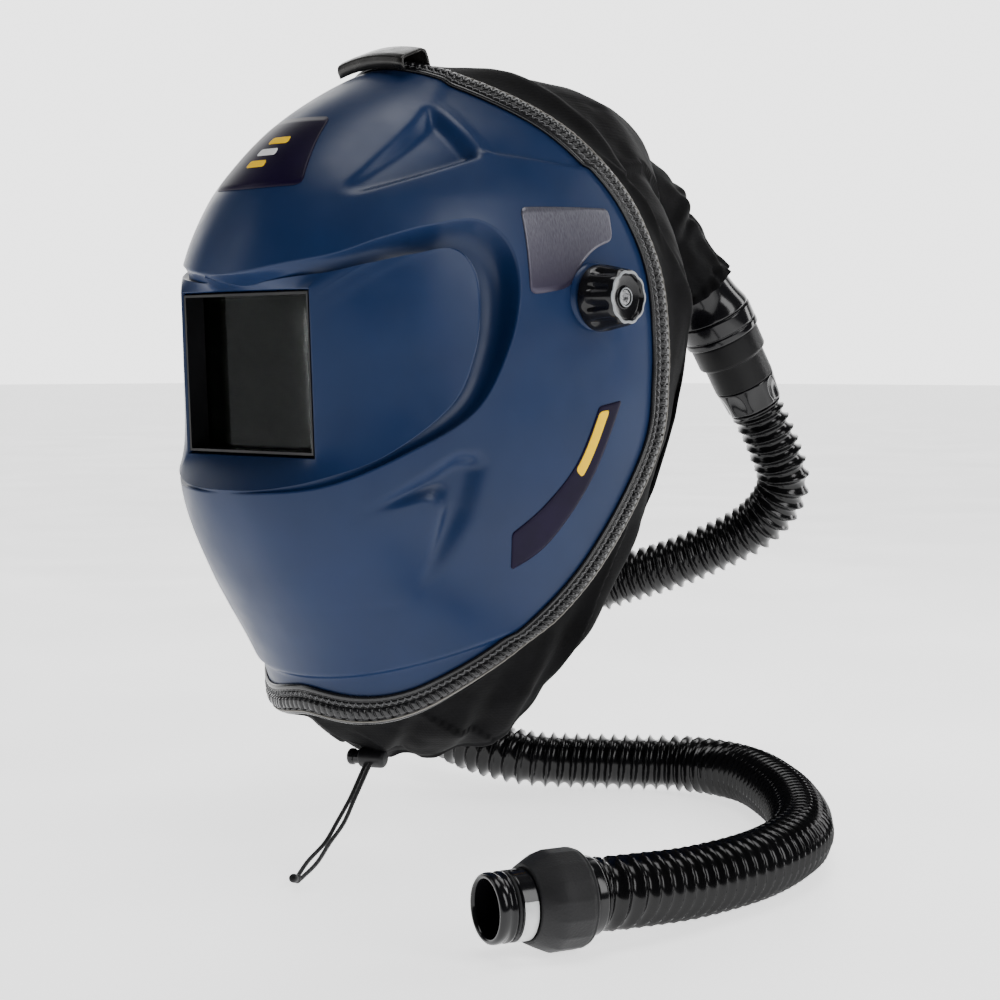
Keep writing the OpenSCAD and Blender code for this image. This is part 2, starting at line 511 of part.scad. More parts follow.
module spigot() color("#141416") at_plug(30.3) difference() {
    // The root inside the grip collar is slightly thinner than the length that goes into the blower.
    rotate_extrude($fn = 64) polygon([[spigot_bore / 2, 0], [spigot_d / 2 - 0.4, 0],
        [spigot_d / 2 - 0.4, 5.2], [spigot_d / 2, 5.2], [spigot_d / 2, 13.5], [spigot_d / 2 - 1.6, 13.5],
        [spigot_d / 2 - 1.6, 16], [spigot_d / 2, 16], [spigot_d / 2, 17.6], [spigot_d / 2 - 1, 18.2],
        [spigot_d / 2 - 1, 20], [spigot_d / 2, 20.6], [spigot_d / 2, 23.4],
        [spigot_d / 2 - 1.2, 25], [spigot_bore / 2, 25]]);
    translate([0, spigot_d / 2 + 1, 11.4]) rotate([90, 0, 0]) cylinder(d = 3.6, h = 3, $fn = 32);
    label_strip(spigot_d / 2 - 0.22, 0.5, label_arc + 2, 5, 8);
}
// The label lies in a shallow recess, so that the connector still slides into its socket.
module label_strip(r, t, arc, z, w) {
    translate([0, 0, z]) rotate([0, 0, label_middle - arc / 2])
    rotate_extrude(angle = arc, $fn = 64) translate([r, 0]) square([t, w]);
}
module spigot_seal() color("#303034") at_plug(30.3 + 13.7) pipe(spigot_d - 0.1, spigot_d - 3.1, 2.1);
module spigot_label() color("white") at_plug(30.3) label_strip(spigot_d / 2 - 0.2, 0.16, label_arc, 5.5, 7);

// ---- hood: rows of points from the rim back to the neck, left half from crown to chin ----
HOOD_BACK = [[[0, 30, 131], [0, 82, 128], [0, 126, 112], [0, 149, 72], [0, 155, 20], [0, 148, -40],
        [0, 128, -96], [0, 104, -140]],
    [[36, 34, 125], [38, 80, 120], [40, 118, 102], [40, 138, 66], [42, 143, 18], [42, 136, -40],
        [40, 116, -96], [38, 94, -142]],
    [[66, 46, 104], [68, 82, 96], [70, 106, 80], [71, 118, 54], [72, 122, 14], [71, 116, -40],
        [67, 100, -96], [60, 80, -146]],
    [[90, 60, 68], [91, 82, 58], [91, 96, 46], [91, 102, 28], [91, 104, 0], [90, 100, -42],
        [84, 86, -98], [72, 66, -152]],
    [[106, 72, 14], [106, 84, 8], [105, 92, 2], [104, 94, -8], [103, 94, -24], [101, 88, -56],
        [92, 74, -106], [78, 52, -160]]];
function hood_row(j, lo, hi, n) = let (r = HOOD_BACK[j], s = smooth_route(r, 4))
    [for (k = [0:n]) s[round(mix(lo, hi, k / n))]];
function both_sides(rows) = concat([for (i = [len(rows) - 1:-1:1]) [for (p = rows[i]) flip(p)]], rows);
hood_core = [0, 40, -20];
function sink(rows, t) = [for (r = rows) [for (p = r) p - unit(p - hood_core) * t]];
module hood_back() color("#0e0e10") difference() {
    rows = both_sides(smooth_route([for (j = [0:4]) hood_row(j, 5, 28, 10)], 2));
    row_skin(rows, sink(rows, 1.6));
    translate([2, 122, 82]) rotate([0, 0, -8]) rotate([-122, 0, 0]) cylinder(d = 62, h = 60, $fn = 48);
}
// The soft gusset joins the shield to the back of the hood and folds as the shield tilts.
function rim_inside(t) = let (q = smooth_route([[0, -37, 131], [40, -22, 116], [74, 8, 92],
    [99, 36, 58], [109, 66, 6]], 2)) q[t];
module hood_gusset() color("#0e0e10") {
    half = [for (t = [0:8])
        let (e = smooth_route([for (j = [0:4]) hood_row(j, 4, 4, 1)[0]], 2)[t], a = rim_inside(t))
        [for (k = [0:6]) mix(a, e, k / 6) + unit(mix(a, e, 0.5) - hood_core) * 7 * sin(180 * k / 6)]];
    rows = both_sides(half);
    row_skin(rows, sink(rows, 1.6));
}
// The face seal closes the space between the lower rim and the neck.
SEAL = [[[108, 62, -20], [104, 72, -40], [98, 78, -66]], [[109, 57, -60], [100, 66, -84], [92, 68, -112]],
    [[104, 36, -105], [94, 50, -128], [84, 48, -160]], [[92, -6, -158], [86, 14, -186], [74, 16, -200]],
    [[66, -58, -206], [60, -34, -226], [54, -18, -238]], [[34, -84, -222], [32, -62, -236], [28, -46, -249]],
    [[0, -96, -226], [0, -74, -240], [0, -56, -254]]];
module face_seal() color("#0e0e10") {
    rows = let (h = smooth_route([for (r = SEAL) smooth_route(r, 2)], 2))
        concat(h, [for (i = [len(h) - 2:-1:0]) [for (p = h[i]) flip(p)]]);
    row_skin(rows, sink(rows, 1.6));
}
SLEEVE = [[6.3, 160, 58.5, 29], [9, 174, 48, 26.5], [12.9, 195, 31, 24.5],
    [15.4, 204.5, 22.9, 22.8], [17.1, 210, 18, 22.4]];
module air_sleeve() color("#0e0e10") {
    p = smooth_route(SLEEVE, 3);
    r = [for (q = p) q[3]];
    ring_skin(tube_rings(p, 24, [for (v = r) v - 1.2]), tube_rings(p, 24, r));
}
module sleeve_elastic() color("#0e0e10") bent_pipe(14, 17, 50, 45.4);

// ---- neck drawcord, its lock and its crimped end ----
cord_d = 2.6;
CORD = [[0, -56, -250], [4, -66, -258], [9, -78, -267.5], [14, -90, -277], [22, -106, -286],
    [31, -124, -293], [39, -142, -299], [45, -157, -304]];
cord_gap = 1.7;
CORD_PINCH = [1, 1, 1, 1, 1.5, 1, 2, 0.9];
function strand(side) = [for (i = [0:len(CORD) - 1]) CORD[i] + [side * cord_gap * CORD_PINCH[i], 0, 0]];
module drawcord(side) color("#151517") {
    p = smooth_route(strand(side), 2);
    solid_tube(p, 8, evens(cord_d / 2, len(p)));
}
module drawcord_left() drawcord(1);
module drawcord_right() drawcord(-1);
LOCK = [4, -66, -258];
cord_dir = unit([5, -12, -9.5]);
lock_pitch = acos(-cord_dir[2]);
lock_swing = atan2(cord_dir[0], -cord_dir[1]);
module at_lock() {
    translate(LOCK) rotate([0, 0, lock_swing]) rotate([-lock_pitch, 0, 0]) rotate([0, 90, 0]) children();
}
module cord_slot(w) {
    cube([20, 4, w], center = true);
}
module cord_lock() color("#1b1b1d") at_lock() difference() {
    translate([0, 0, -6]) cylinder(d = 11, h = 15, $fn = 48);
    translate([0, 0, -7]) cylinder(d = 8.1, h = 14.6, $fn = 48);
    cord_slot(7.4);
}
module lock_button() color("#3a3a3d") at_lock() difference() {
    union() {
        translate([0, 0, -13]) cylinder(d = 9.4, h = 3.4, $fn = 48);
        translate([0, 0, -9.7]) cylinder(d = 8, h = 15, $fn = 48);
    }
    translate([0, 0, -0.8]) cord_slot(9.6);
}
module lock_spring() color("silver") at_lock() translate([0, 0, 5.35])
    rotate_extrude($fn = 32) translate([2.6, 0]) square([0.8, 2.2]);
module cord_end() color("#151517") translate([45.3, -157.6, -304.2]) rotate([0, 0, 21.8])
    rotate([72, 0, 0]) cylinder(d = 5, h = 7, $fn = 32);

shield_shell();
rim_trim();
rim_clip();
brow_label();
side_labels();
strip_labels();
filter_frame();
cover_lens();
welding_filter();
inner_lens();
filter_retainer();
retainer_pin();
pivot_bushes();
knob_left();
knob_right();
pivot_bolts();
friction_washers();
side_arm_left();
side_arm_right();
headband();
sweatband();
nape_pad();
crown_strap_front();
crown_strap_rear();
ratchet_housing();
ratchet_knob();
ratchet_pinion();
air_duct();
inlet_elbow();
elbow_ring();
inlet_seal();
swivel_collar();
upper_cuff();
breathing_hose();
lower_cuff();
grip_collar();
spigot();
spigot_seal();
spigot_label();
air_sleeve();
sleeve_elastic();
hood_back();
hood_gusset();
face_seal();
drawcord_left();
drawcord_right();
cord_lock();
lock_button();
lock_spring();
cord_end();
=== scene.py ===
"""The looks of a powered air respirator's head-top and hose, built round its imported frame.

Shapes are worked out in millimetres in the part's own frame and become metres in make_piece().
"""

import math

import bmesh
import bpy
import numpy as np
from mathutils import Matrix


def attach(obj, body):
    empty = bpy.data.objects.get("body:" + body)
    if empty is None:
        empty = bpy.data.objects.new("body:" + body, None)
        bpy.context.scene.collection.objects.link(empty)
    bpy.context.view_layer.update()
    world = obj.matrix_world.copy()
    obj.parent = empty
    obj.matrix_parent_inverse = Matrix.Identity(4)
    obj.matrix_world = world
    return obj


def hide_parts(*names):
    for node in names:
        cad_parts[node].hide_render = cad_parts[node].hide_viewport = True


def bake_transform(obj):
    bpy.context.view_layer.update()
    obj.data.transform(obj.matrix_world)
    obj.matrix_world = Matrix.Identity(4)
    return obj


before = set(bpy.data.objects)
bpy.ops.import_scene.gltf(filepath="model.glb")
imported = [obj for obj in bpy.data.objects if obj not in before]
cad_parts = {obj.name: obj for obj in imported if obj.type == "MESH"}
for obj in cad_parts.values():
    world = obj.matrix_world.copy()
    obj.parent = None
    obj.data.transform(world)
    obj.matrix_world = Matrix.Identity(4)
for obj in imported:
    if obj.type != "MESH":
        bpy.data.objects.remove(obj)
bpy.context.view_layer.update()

MM = 0.001
FLOOR_Z = -307.0
HALF_FLOOR = 24.0
FULL_TURN = 2 * math.pi


# ---- camera, floor and light ----
def make_camera():
    """The camera stands to the wearer's left front, a little above the middle, looking slightly down."""
    turn, pitch = math.radians(43.0), math.radians(3.68)
    data = bpy.data.cameras.new("camera")
    data.lens = 75.6
    data.sensor_width = 36.0
    camera = bpy.data.objects.new("camera", data)
    camera.location = (0.8596, -0.8763, -0.0364)
    camera.rotation_euler = (math.pi / 2 - pitch, 0.0, turn)
    bpy.context.collection.objects.link(camera)
    bpy.context.scene.camera = camera


def area_light(name, place, target, size, power):
    """A soft box at place, in metres, that faces target."""
    data = bpy.data.lights.new(name, "AREA")
    data.shape = "RECTANGLE"
    data.size, data.size_y = size
    data.energy = power
    light = bpy.data.objects.new(name, data)
    light.location = place
    aim = np.array(target, float) - np.array(place, float)
    flat = math.hypot(aim[0], aim[1])
    light.rotation_euler = (math.atan2(flat, -aim[2]), 0.0, math.atan2(aim[1], aim[0]) - math.pi / 2)
    bpy.context.collection.objects.link(light)


# Lights: name, place, what it faces, size in metres, power.
LIGHTS = [("key", (1.7, 0.2, 0.75), (0.0, 0.0, -0.05), (0.6, 1.2), 15),
          ("back_right", (0.75, 1.6, 0.35), (0.0, 0.1, -0.1), (0.35, 1.6), 12),
          ("fill_left", (-1.3, -1.3, 0.6), (0.0, 0.0, -0.05), (0.6, 1.2), 4),
          ("overhead", (0.1, 0.0, 1.7), (0.0, 0.0, -0.05), (1.2, 0.9), 16),
          ("window_card", (-0.965, -1.06, -0.13), (0.03, -0.15, -0.04), (0.05, 0.16), 0.4)]


def make_studio():
    """Soft boxes, and a world that is bright behind the object and dark behind the camera."""
    for light in LIGHTS:
        area_light(*light)
    world = bpy.data.worlds.new("studio")
    bpy.context.scene.world = world
    world.use_nodes = True
    tree = world.node_tree
    place = tree.nodes.new("ShaderNodeTexCoord")
    toward = tree.nodes.new("ShaderNodeVectorMath")
    toward.operation = "DOT_PRODUCT"
    toward.inputs[1].default_value = (-0.68, 0.73, 0.0)
    tree.links.new(place.outputs["Generated"], toward.inputs[0])
    level = tree.nodes.new("ShaderNodeMapRange")
    level.interpolation_type = "SMOOTHSTEP"
    for key, value in (("From Min", 0.5), ("From Max", 0.93), ("To Min", 0.07), ("To Max", 3.1)):
        level.inputs[key].default_value = value
    tree.links.new(toward.outputs["Value"], level.inputs["Value"])
    tree.links.new(level.outputs["Result"], tree.nodes["Background"].inputs["Strength"])
    tree.nodes["Background"].inputs["Color"].default_value = (1.0, 1.0, 1.0, 1)


# ---- vector helpers, on arrays of points ----
def unit(v):
    return v / np.linalg.norm(v, axis=-1, keepdims=True)


def ramp(x):
    x = np.clip(x, 0.0, 1.0)
    return x * x * (3 - 2 * x)


def mix(a, b, t):
    return a + (b - a) * t


def curve(a, b, c, d, t):
    """Catmull-Rom between b and c."""
    return (b + (c - a) * t / 2 + (2 * a - 5 * b + 4 * c - d) * t * t / 2
            + (3 * b - a - 3 * c + d) * t * t * t / 2)


def smooth_line(points, per):
    """An open line through its control points; per samples between two of them."""
    p = np.array(points, float)
    p = np.vstack([p[:1], p, p[-1:]])
    t = (np.arange(per) / per).reshape(-1, *([1] * (p.ndim - 1)))
    parts = [curve(p[i], p[i + 1], p[i + 2], p[i + 3], t) for i in range(len(p) - 3)]
    return np.vstack(parts + [p[-1:]])


def even_line(line, count):
    """count points spaced evenly along a line."""
    steps = np.linalg.norm(np.diff(line[:, :3], axis=0), axis=1)
    along = np.concatenate([[0], np.cumsum(steps)])
    want = np.linspace(0, along[-1], count)
    return np.stack([np.interp(want, along, line[:, k]) for k in range(line.shape[1])], 1)


def lattice(ix, iy, iz, seed):
    h = (ix * 374761393 + iy * 668265263 + iz * 2147483647 + seed * 1274126177) & 0xFFFFFFFF
    h = ((h ^ (h >> 13)) * 1274126177) & 0xFFFFFFFF
    return ((h ^ (h >> 16)) & 0xFFFF) / 65535.0 * 2 - 1


def value_noise(p, size, seed=0):
    """Smooth noise from -1 to 1 with features about size across."""
    q = p / size
    base = np.floor(q).astype(np.int64)
    f = q - base
    w = f * f * (3 - 2 * f)
    total = 0.0
    for dx in (0, 1):
        for dy in (0, 1):
            for dz in (0, 1):
                k = (w[..., 0] if dx else 1 - w[..., 0]) * (w[..., 1] if dy else 1 - w[..., 1])
                k = k * (w[..., 2] if dz else 1 - w[..., 2])
                total = total + k * lattice(base[..., 0] + dx, base[..., 1] + dy, base[..., 2] + dz, seed)
    return total


def outward(grid, middle, wrap=False):
    """Normals of a grid of points (rows, columns, 3), on the side away from middle."""
    if wrap:
        across = np.roll(grid, -1, 1) - np.roll(grid, 1, 1)
    else:
        across = np.gradient(grid, axis=1)
    normal = unit(np.cross(np.gradient(grid, axis=0), across) + 1e-12)
    return normal * np.sign(np.sum(normal * (grid - middle), axis=-1, keepdims=True))


# ---- mesh helpers ----
def make_piece(name, points, faces, material, body, flat=False):
    mesh = bpy.data.meshes.new(name)
    mesh.from_pydata((np.asarray(points, float) * MM).tolist(), [], faces)
    work = bmesh.new()
    work.from_mesh(mesh)
    bmesh.ops.recalc_face_normals(work, faces=work.faces)
    work.to_mesh(mesh)
    work.free()
    mesh.polygons.foreach_set("use_smooth", [not flat] * len(mesh.polygons))
    mesh.materials.append(material)
    piece = bpy.data.objects.new(name, mesh)
    bpy.context.collection.objects.link(piece)
    if body:
        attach(piece, body)
    return piece


def stand_for(piece, *nodes):
    """The piece takes the place of CAD nodes, which are hidden."""
    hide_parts(*nodes)
    return piece


def grid_faces(rows, cols, wrap=False, start=0, closed=False):
    """Faces of a grid of points. wrap joins its last column to its first, closed its last row."""
    last = cols if wrap else cols - 1
    return [(start + i * cols + j, start + i * cols + (j + 1) % cols,
             start + (i + 1) % rows * cols + (j + 1) % cols, start + (i + 1) % rows * cols + j)
            for i in range(rows if closed else rows - 1) for j in range(last)]


def shell_between(outer, inner, wrap):
    """Points and faces of a closed skin: two grids with as many columns, joined along their edges."""
    ro, cols = outer.shape[:2]
    ri = inner.shape[0]
    points = np.vstack([outer.reshape(-1, 3), inner.reshape(-1, 3)])
    second = ro * cols
    faces = grid_faces(ro, cols, wrap) + grid_faces(ri, cols, wrap, second)
    last = cols if wrap else cols - 1
    for a, b in ((0, second), ((ro - 1) * cols, second + (ri - 1) * cols)):
        faces += [(a + j, a + (j + 1) % cols, b + (j + 1) % cols, b + j) for j in range(last)]
    if not wrap:
        for j in (0, cols - 1):
            faces += [(i * cols + j, (i + 1) * cols + j, second + (i + 1) * cols + j, second + i * cols + j)
                      for i in range(ro - 1)]
    return points, faces


def tube_frames(line):
    """Tangent, side and up vectors carried along a line without twist."""
    tangent = unit(np.gradient(line, axis=0))
    side = np.zeros_like(line)
    up = np.array([0.0, 0.1, 1.0])
    for i, t in enumerate(tangent):
        up = up - t * float(up @ t)
        up = up / np.linalg.norm(up)
        side[i] = up
    return tangent, side, np.cross(tangent, side)


def sweep(line, radius, sides, squash=1.0):
    """Rings round a line. radius is a number, or an array (rings, sides)."""
    tangent, u, v = tube_frames(line)
    angle = np.arange(sides) * FULL_TURN / sides
    r = np.broadcast_to(np.asarray(radius, float).reshape(-1, 1) if np.ndim(radius) == 1 else radius,
                        (len(line), sides))
    return (line[:, None] + u[:, None] * (r * np.cos(angle) * squash)[..., None]
            + v[:, None] * (r * np.sin(angle))[..., None])


def closed_tube(name, rings, material, body):
    rows, cols = rings.shape[:2]
    faces = grid_faces(rows, cols, True)
    faces += [tuple(range(cols)), tuple((rows - 1) * cols + k for k in range(cols))]
    return make_piece(name, rings.reshape(-1, 3), faces, material, body)


class Place:
    """A local frame: origin and z axis, with x and y across."""

    def __init__(self, origin, x, y, z):
        self.origin = np.array(origin, float)
        self.axes = np.array([x, y, z], float)

    def at(self, local):
        return self.origin + np.asarray(local, float) @ self.axes


def turned(origin, swing, pitch, roll=0.0):
    """The frame that rotate([0, 0, swing]) rotate([pitch, 0, 0]) rotate([0, roll, 0]) gives in CAD."""
    s, p, r = (math.radians(a) for a in (swing, pitch, roll))
    rz = np.array([[math.cos(s), -math.sin(s), 0], [math.sin(s), math.cos(s), 0], [0, 0, 1]])
    rx = np.array([[1, 0, 0], [0, math.cos(p), -math.sin(p)], [0, math.sin(p), math.cos(p)]])
    ry = np.array([[math.cos(r), 0, math.sin(r)], [0, 1, 0], [-math.sin(r), 0, math.cos(r)]])
    m = rz @ rx @ ry
    return Place(origin, m[:, 0], m[:, 1], m[:, 2])


def rounded(points, radius=0.5, steps=3):
    """A profile whose corners are cut round; points are (radius, height)."""
    p = [np.array(q, float) for q in points]
    out = [p[0]]
    for a, b, c in zip(p, p[1:], p[2:]):
        into, away = a - b, c - b
        room = min(np.linalg.norm(into), np.linalg.norm(away)) * 0.45
        cut = min(radius, room)
        start, end = b + into / np.linalg.norm(into) * cut, b + away / np.linalg.norm(away) * cut
        for k in range(steps + 1):
            t = k / steps
            out.append(start * (1 - t) ** 2 + b * 2 * t * (1 - t) + end * t * t)
    return np.array(out + [p[-1]])


def open_length(line):
    return float(np.linalg.norm(np.diff(line, axis=0), axis=1).sum())


def lathe(name, place, profile, material, body, sides=96, shape=None, closed=False):
    """Turns a profile round place's z axis. shape(angle, height, radius) may change the radius."""
    profile = np.asarray(profile, float)
    angle = np.arange(sides) * FULL_TURN / sides
    r = np.repeat(profile[:, :1], sides, 1)
    z = np.repeat(profile[:, 1:2], sides, 1)
    if shape is not None:
        r = shape(np.repeat(angle[None], len(profile), 0), z, r)
    points = place.at(np.stack([r * np.cos(angle), r * np.sin(angle), z], -1).reshape(-1, 3))
    return make_piece(name, points, grid_faces(len(profile), sides, True, 0, closed), material, body)


# ---- materials ----
class Look:
    """A Principled material with helpers for its procedural detail."""

    def __init__(self, name, color, rough, **sockets):
        self.material = bpy.data.materials.new(name)
        self.material.use_nodes = True
        self.tree = self.material.node_tree
        self.shader = self.tree.nodes["Principled BSDF"]
        self.color = color
        self.shader.inputs["Base Color"].default_value = (*color, 1.0)
        self.shader.inputs["Roughness"].default_value = rough
        for socket, value in sockets.items():
            self.shader.inputs[socket.replace("_", " ")].default_value = value
        self.place = self.tree.nodes.new("ShaderNodeTexCoord").outputs["Object"]

    def add(self, kind, inputs, **props):
        node = self.tree.nodes.new(kind)
        for key, value in props.items():
            setattr(node, key, value)
        for key, value in inputs.items():
            if isinstance(value, bpy.types.NodeSocket):
                self.tree.links.new(value, node.inputs[key])
            else:
                node.inputs[key].default_value = value
        return node

    def noise(self, size, detail=3.0, stretch=(1.0, 1.0, 1.0)):
        """Noise with features size mm across."""
        where = self.add("ShaderNodeMapping", {"Vector": self.place, "Scale": stretch})
        made = self.add("ShaderNodeTexNoise", {"Vector": where.outputs["Vector"], "Scale": 1000.0 / size,
                                               "Detail": detail})
        return made.outputs[0]

    def cells(self, size):
        made = self.add("ShaderNodeTexVoronoi", {"Vector": self.place, "Scale": 1000.0 / size})
        return made.outputs["Distance"]

    def waves(self, size, direction="X", warp=0.0):
        made = self.add("ShaderNodeTexWave", {"Vector": self.place, "Scale": 1000.0 / size / 20 * math.pi,
                                              "Distortion": warp}, bands_direction=direction)
        return made.outputs["Fac"]

    def span(self, value, low, high, start=0.0, end=1.0):
        made = self.add("ShaderNodeMapRange", {"Value": value, "From Min": start, "From Max": end,
                                               "To Min": low, "To Max": high})
        return made.outputs["Result"]

    def math(self, how, a, b):
        made = self.add("ShaderNodeMath", {0: a, 1: b}, operation=how)
        return made.outputs[0]

    def blend(self, fac, a, b):
        made = self.add("ShaderNodeMix", {}, data_type="RGBA")
        for socket, value in ((0, fac), (6, a), (7, b)):
            if isinstance(value, bpy.types.NodeSocket):
                self.tree.links.new(value, made.inputs[socket])
            else:
                made.inputs[socket].default_value = value if socket == 0 else (*value, 1.0)
        return made.outputs[2]

    def paint(self, color_socket):
        self.tree.links.new(color_socket, self.shader.inputs["Base Color"])
        return self

    def shade(self, amount, size):
        """Cloudy colour variation of plus or minus amount."""
        fac = self.span(self.noise(size, 4.0), 0.0, 1.0, 0.3, 0.7)
        dark = tuple(c * (1 - amount) for c in self.color)
        light = tuple(min(1.0, c * (1 + amount)) for c in self.color)
        return self.paint(self.blend(fac, dark, light))

    def gloss(self, low, high, size):
        """Roughness that wanders between two values."""
        self.tree.links.new(self.span(self.noise(size, 4.0), low, high, 0.3, 0.7),
                            self.shader.inputs["Roughness"])
        return self

    def bump(self, height, depth, strength=1.0):
        """Bump from a height, depth mm deep."""
        under = self.shader.inputs["Normal"].links
        inputs = {"Height": height, "Distance": depth * MM, "Strength": strength}
        made = self.add("ShaderNodeBump", inputs)
        if under:
            self.tree.links.new(under[0].from_socket, made.inputs["Normal"])
        self.tree.links.new(made.outputs["Normal"], self.shader.inputs["Normal"])
        return self

    def relief(self, kind, args, depth, strength=1.0):
        """Bump from one of the patterns above: noise, cells or waves."""
        return self.bump(getattr(self, kind)(*args), depth, strength)


def moulded(name, color, rough, grain, depth, vary, specular=0.5):
    """Moulded plastic: fine grain, faint clouds of colour, uneven gloss."""
    look = Look(name, color, rough, Specular_IOR_Level=specular)
    look.shade(vary, 40.0).gloss(rough * 0.85, rough * 1.2, 25.0)
    return look.relief("noise", (grain, 2.0), depth)


# Mouldings: name, colour, roughness, size of the grain and its depth in mm, variation, specular level.
MOULDINGS = {
    "shell": ("navy_moulding", (0.0060, 0.0190, 0.064), 0.34, 0.8, 0.012, 0.08, 0.24),
    "gloss": ("gloss_black", (0.004, 0.004, 0.005), 0.15, 1.5, 0.01, 0.2, 0.36),
    "black": ("satin_black", (0.006, 0.006, 0.007), 0.42, 0.6, 0.02, 0.2, 0.3),
    "trim": ("trim_rubber", (0.007, 0.007, 0.008), 0.24, 0.5, 0.03, 0.3),
    "textured": ("spark_texture", (0.008, 0.008, 0.009), 0.55, 1.1, 0.22, 0.4, 0.3),
    "fine_texture": ("fine_texture", (0.003, 0.003, 0.0035), 0.40, 0.45, 0.05, 0.2, 0.16),
    "piping": ("piping", (0.15, 0.14, 0.125), 0.45, 0.6, 0.03, 0.3),
    "hose": ("hose_rubber", (0.003, 0.003, 0.0035), 0.17, 2.0, 0.02, 0.3, 0.3),
    # Light grey for the knob's rim and boss rings: a painted highlight as well as wear.
    "highlight_and_wear": ("rim_highlight_and_wear", (0.22, 0.23, 0.24), 0.35, 0.8, 0.04, 0.35)}


def hood_cloth():
    cloth = Look("hood_cloth", (0.0022, 0.0022, 0.0026), 0.7, Specular_IOR_Level=0.07).shade(0.5, 18.0)
    cloth.bump(cloth.math("MULTIPLY", cloth.waves(0.9, "X"), cloth.waves(0.9, "Z")), 0.09, 0.6)
    return cloth.relief("noise", (0.8, 2.0), 0.10, 0.7).relief("noise", (9.0, 3.0), 0.6, 0.5)


def brushed_film():
    """A metal-like film with fine level streaks that darkens downward."""
    film = Look("brushed_film", (0.20, 0.18, 0.23), 0.34, Metallic=0.35)
    place = film.add("ShaderNodeSeparateXYZ", {"Vector": film.place})
    down = film.span(place.outputs["Z"], 0.0, 1.0, 0.048, 0.0)
    streaks = film.noise(1.1, 3.0, (1.0, 3.0, 0.35))
    fade = film.blend(down, (0.13, 0.13, 0.155), (0.018, 0.012, 0.036))
    film.paint(film.blend(film.span(streaks, 0.0, 0.75, 0.35, 0.7), fade, (0.030, 0.024, 0.045)))
    return film.bump(streaks, 0.05)


def make_looks():
    looks = {key: moulded(*row) for key, row in MOULDINGS.items()}
    looks["shell"].relief("noise", (60.0, 1.0), 0.25, 0.35)
    looks["cloth"] = hood_cloth()
    looks["brushed"] = brushed_film()
    looks["thread"] = Look("thread", (0.11, 0.11, 0.115), 0.5, Sheen_Weight=0.1).shade(0.35, 1.2)
    looks["thread"].relief("waves", (0.5, "DIAGONAL"), 0.08)
    looks["cord"] = Look("braided_cord", (0.007, 0.007, 0.008), 0.7, Sheen_Weight=0.2).shade(0.4, 1.0)
    looks["cord"].relief("waves", (0.9, "DIAGONAL", 2.0), 0.2)
    looks["pad"] = Look("pad_cloth", (0.030, 0.031, 0.034), 0.85, Sheen_Weight=0.25).shade(0.3, 6.0)
    looks["pad"].relief("cells", (1.3,), 0.15, 0.8)
    looks["steel"] = Look("plated_steel", (0.42, 0.42, 0.43), 0.28, Metallic=1.0).gloss(0.2, 0.42, 3.0)
    looks["steel"].relief("noise", (0.5, 2.0, (1.0, 12.0, 1.0)), 0.01)
    looks["clip"] = Look("clip_metal", (0.028, 0.027, 0.026), 0.27, Metallic=0.6).shade(0.3, 12.0)
    looks["clip"].gloss(0.2, 0.4, 10.0).relief("noise", (0.6, 2.0, (1.0, 8.0, 8.0)), 0.015)
    looks["film"] = Look("plum_film", (0.006, 0.003, 0.017), 0.35, Specular_IOR_Level=0.10)
    looks["film"].shade(0.2, 20.0).relief("noise", (1.6, 3.0), 0.03)
    looks["yellow"] = Look("yellow_film", (0.95, 0.58, 0.0), 0.45, Specular_IOR_Level=0.05)
    looks["yellow"].shade(0.05, 8.0).relief("noise", (1.6, 3.0), 0.02)
    looks["white"] = Look("white_film", (0.75, 0.76, 0.76), 0.45)
    looks["white"].shade(0.06, 5.0).relief("noise", (0.8, 3.0), 0.02)
    looks["dark_glass"] = Look("filter_glass", (0.002, 0.003, 0.002), 0.04, IOR=1.18)
    looks["dark_glass"].shade(0.3, 30.0).gloss(0.03, 0.08, 20.0)
    looks["clear_glass"] = Look("cover_glass", (0.78, 0.80, 0.80), 0.02, IOR=1.06, Transmission_Weight=1.0)
    looks["clear_glass"].gloss(0.01, 0.06, 15.0)
    looks["floor"] = Look("studio_floor", (0.93, 0.93, 0.93), 0.5, Emission_Strength=1.45,
                          Emission_Color=(1.0, 1.0, 1.0, 1.0)).gloss(0.45, 0.6, 200.0)
    return {key: look.material for key, look in looks.items()}


# ---- shape of the shield: the same level slices and outlines as the CAD ----
# Slices: height, front, half width, roundness.
SLICES = np.array([
    [-240, -108, 96, 2.1], [-205, -118, 104, 2.15], [-150, -150, 112, 2.3], [-105, -168, 115, 2.4],
    [-40, -171, 116, 2.4], [12, -169, 114, 2.35], [50, -155, 108, 2.2], [75, -137, 98, 2.05],
    [96, -114, 84, 2], [115, -84, 63, 2], [128, -56, 40, 2], [136, -28, 10, 2]], float)
SLICE_BACK = 45.0
SLICE_LOW, SLICE_HIGH = -240, 136
CENTRE = np.array([0.0, -15.0, -45.0])
SHIELD_WALL = 3.4
INNER_EVERY = 6
TRIM_W = 13.0
WINDOW_TOP, WINDOW_H, HALF_WINDOW = 3.0, 88.0, 52.0
WINDOW_FRONT, WINDOW_LEAN = -153.9, 0.043
WINDOW_SHARES = [[0, 0], [0.5, 0], [1, 0], [1, 0.07], [1, 0.15], [1, 0.24], [1, 0.35], [1, 0.46],
                 [1, 0.6], [1, 0.74], [1, 0.88], [1, 1], [0.5, 1], [0, 1]]
PANEL = [[0, -168, 9], [26, -164, 9.5], [57, -149.5, 11], [73, -133, 16], [85, -111, 21], [93, -90, 24],
         [99, -80, 14], [101, -78, -6], [101, -82, -31], [96, -94, -57], [81, -125, -82], [59, -149, -94],
         [26, -165, -101], [0, -168, -102]]
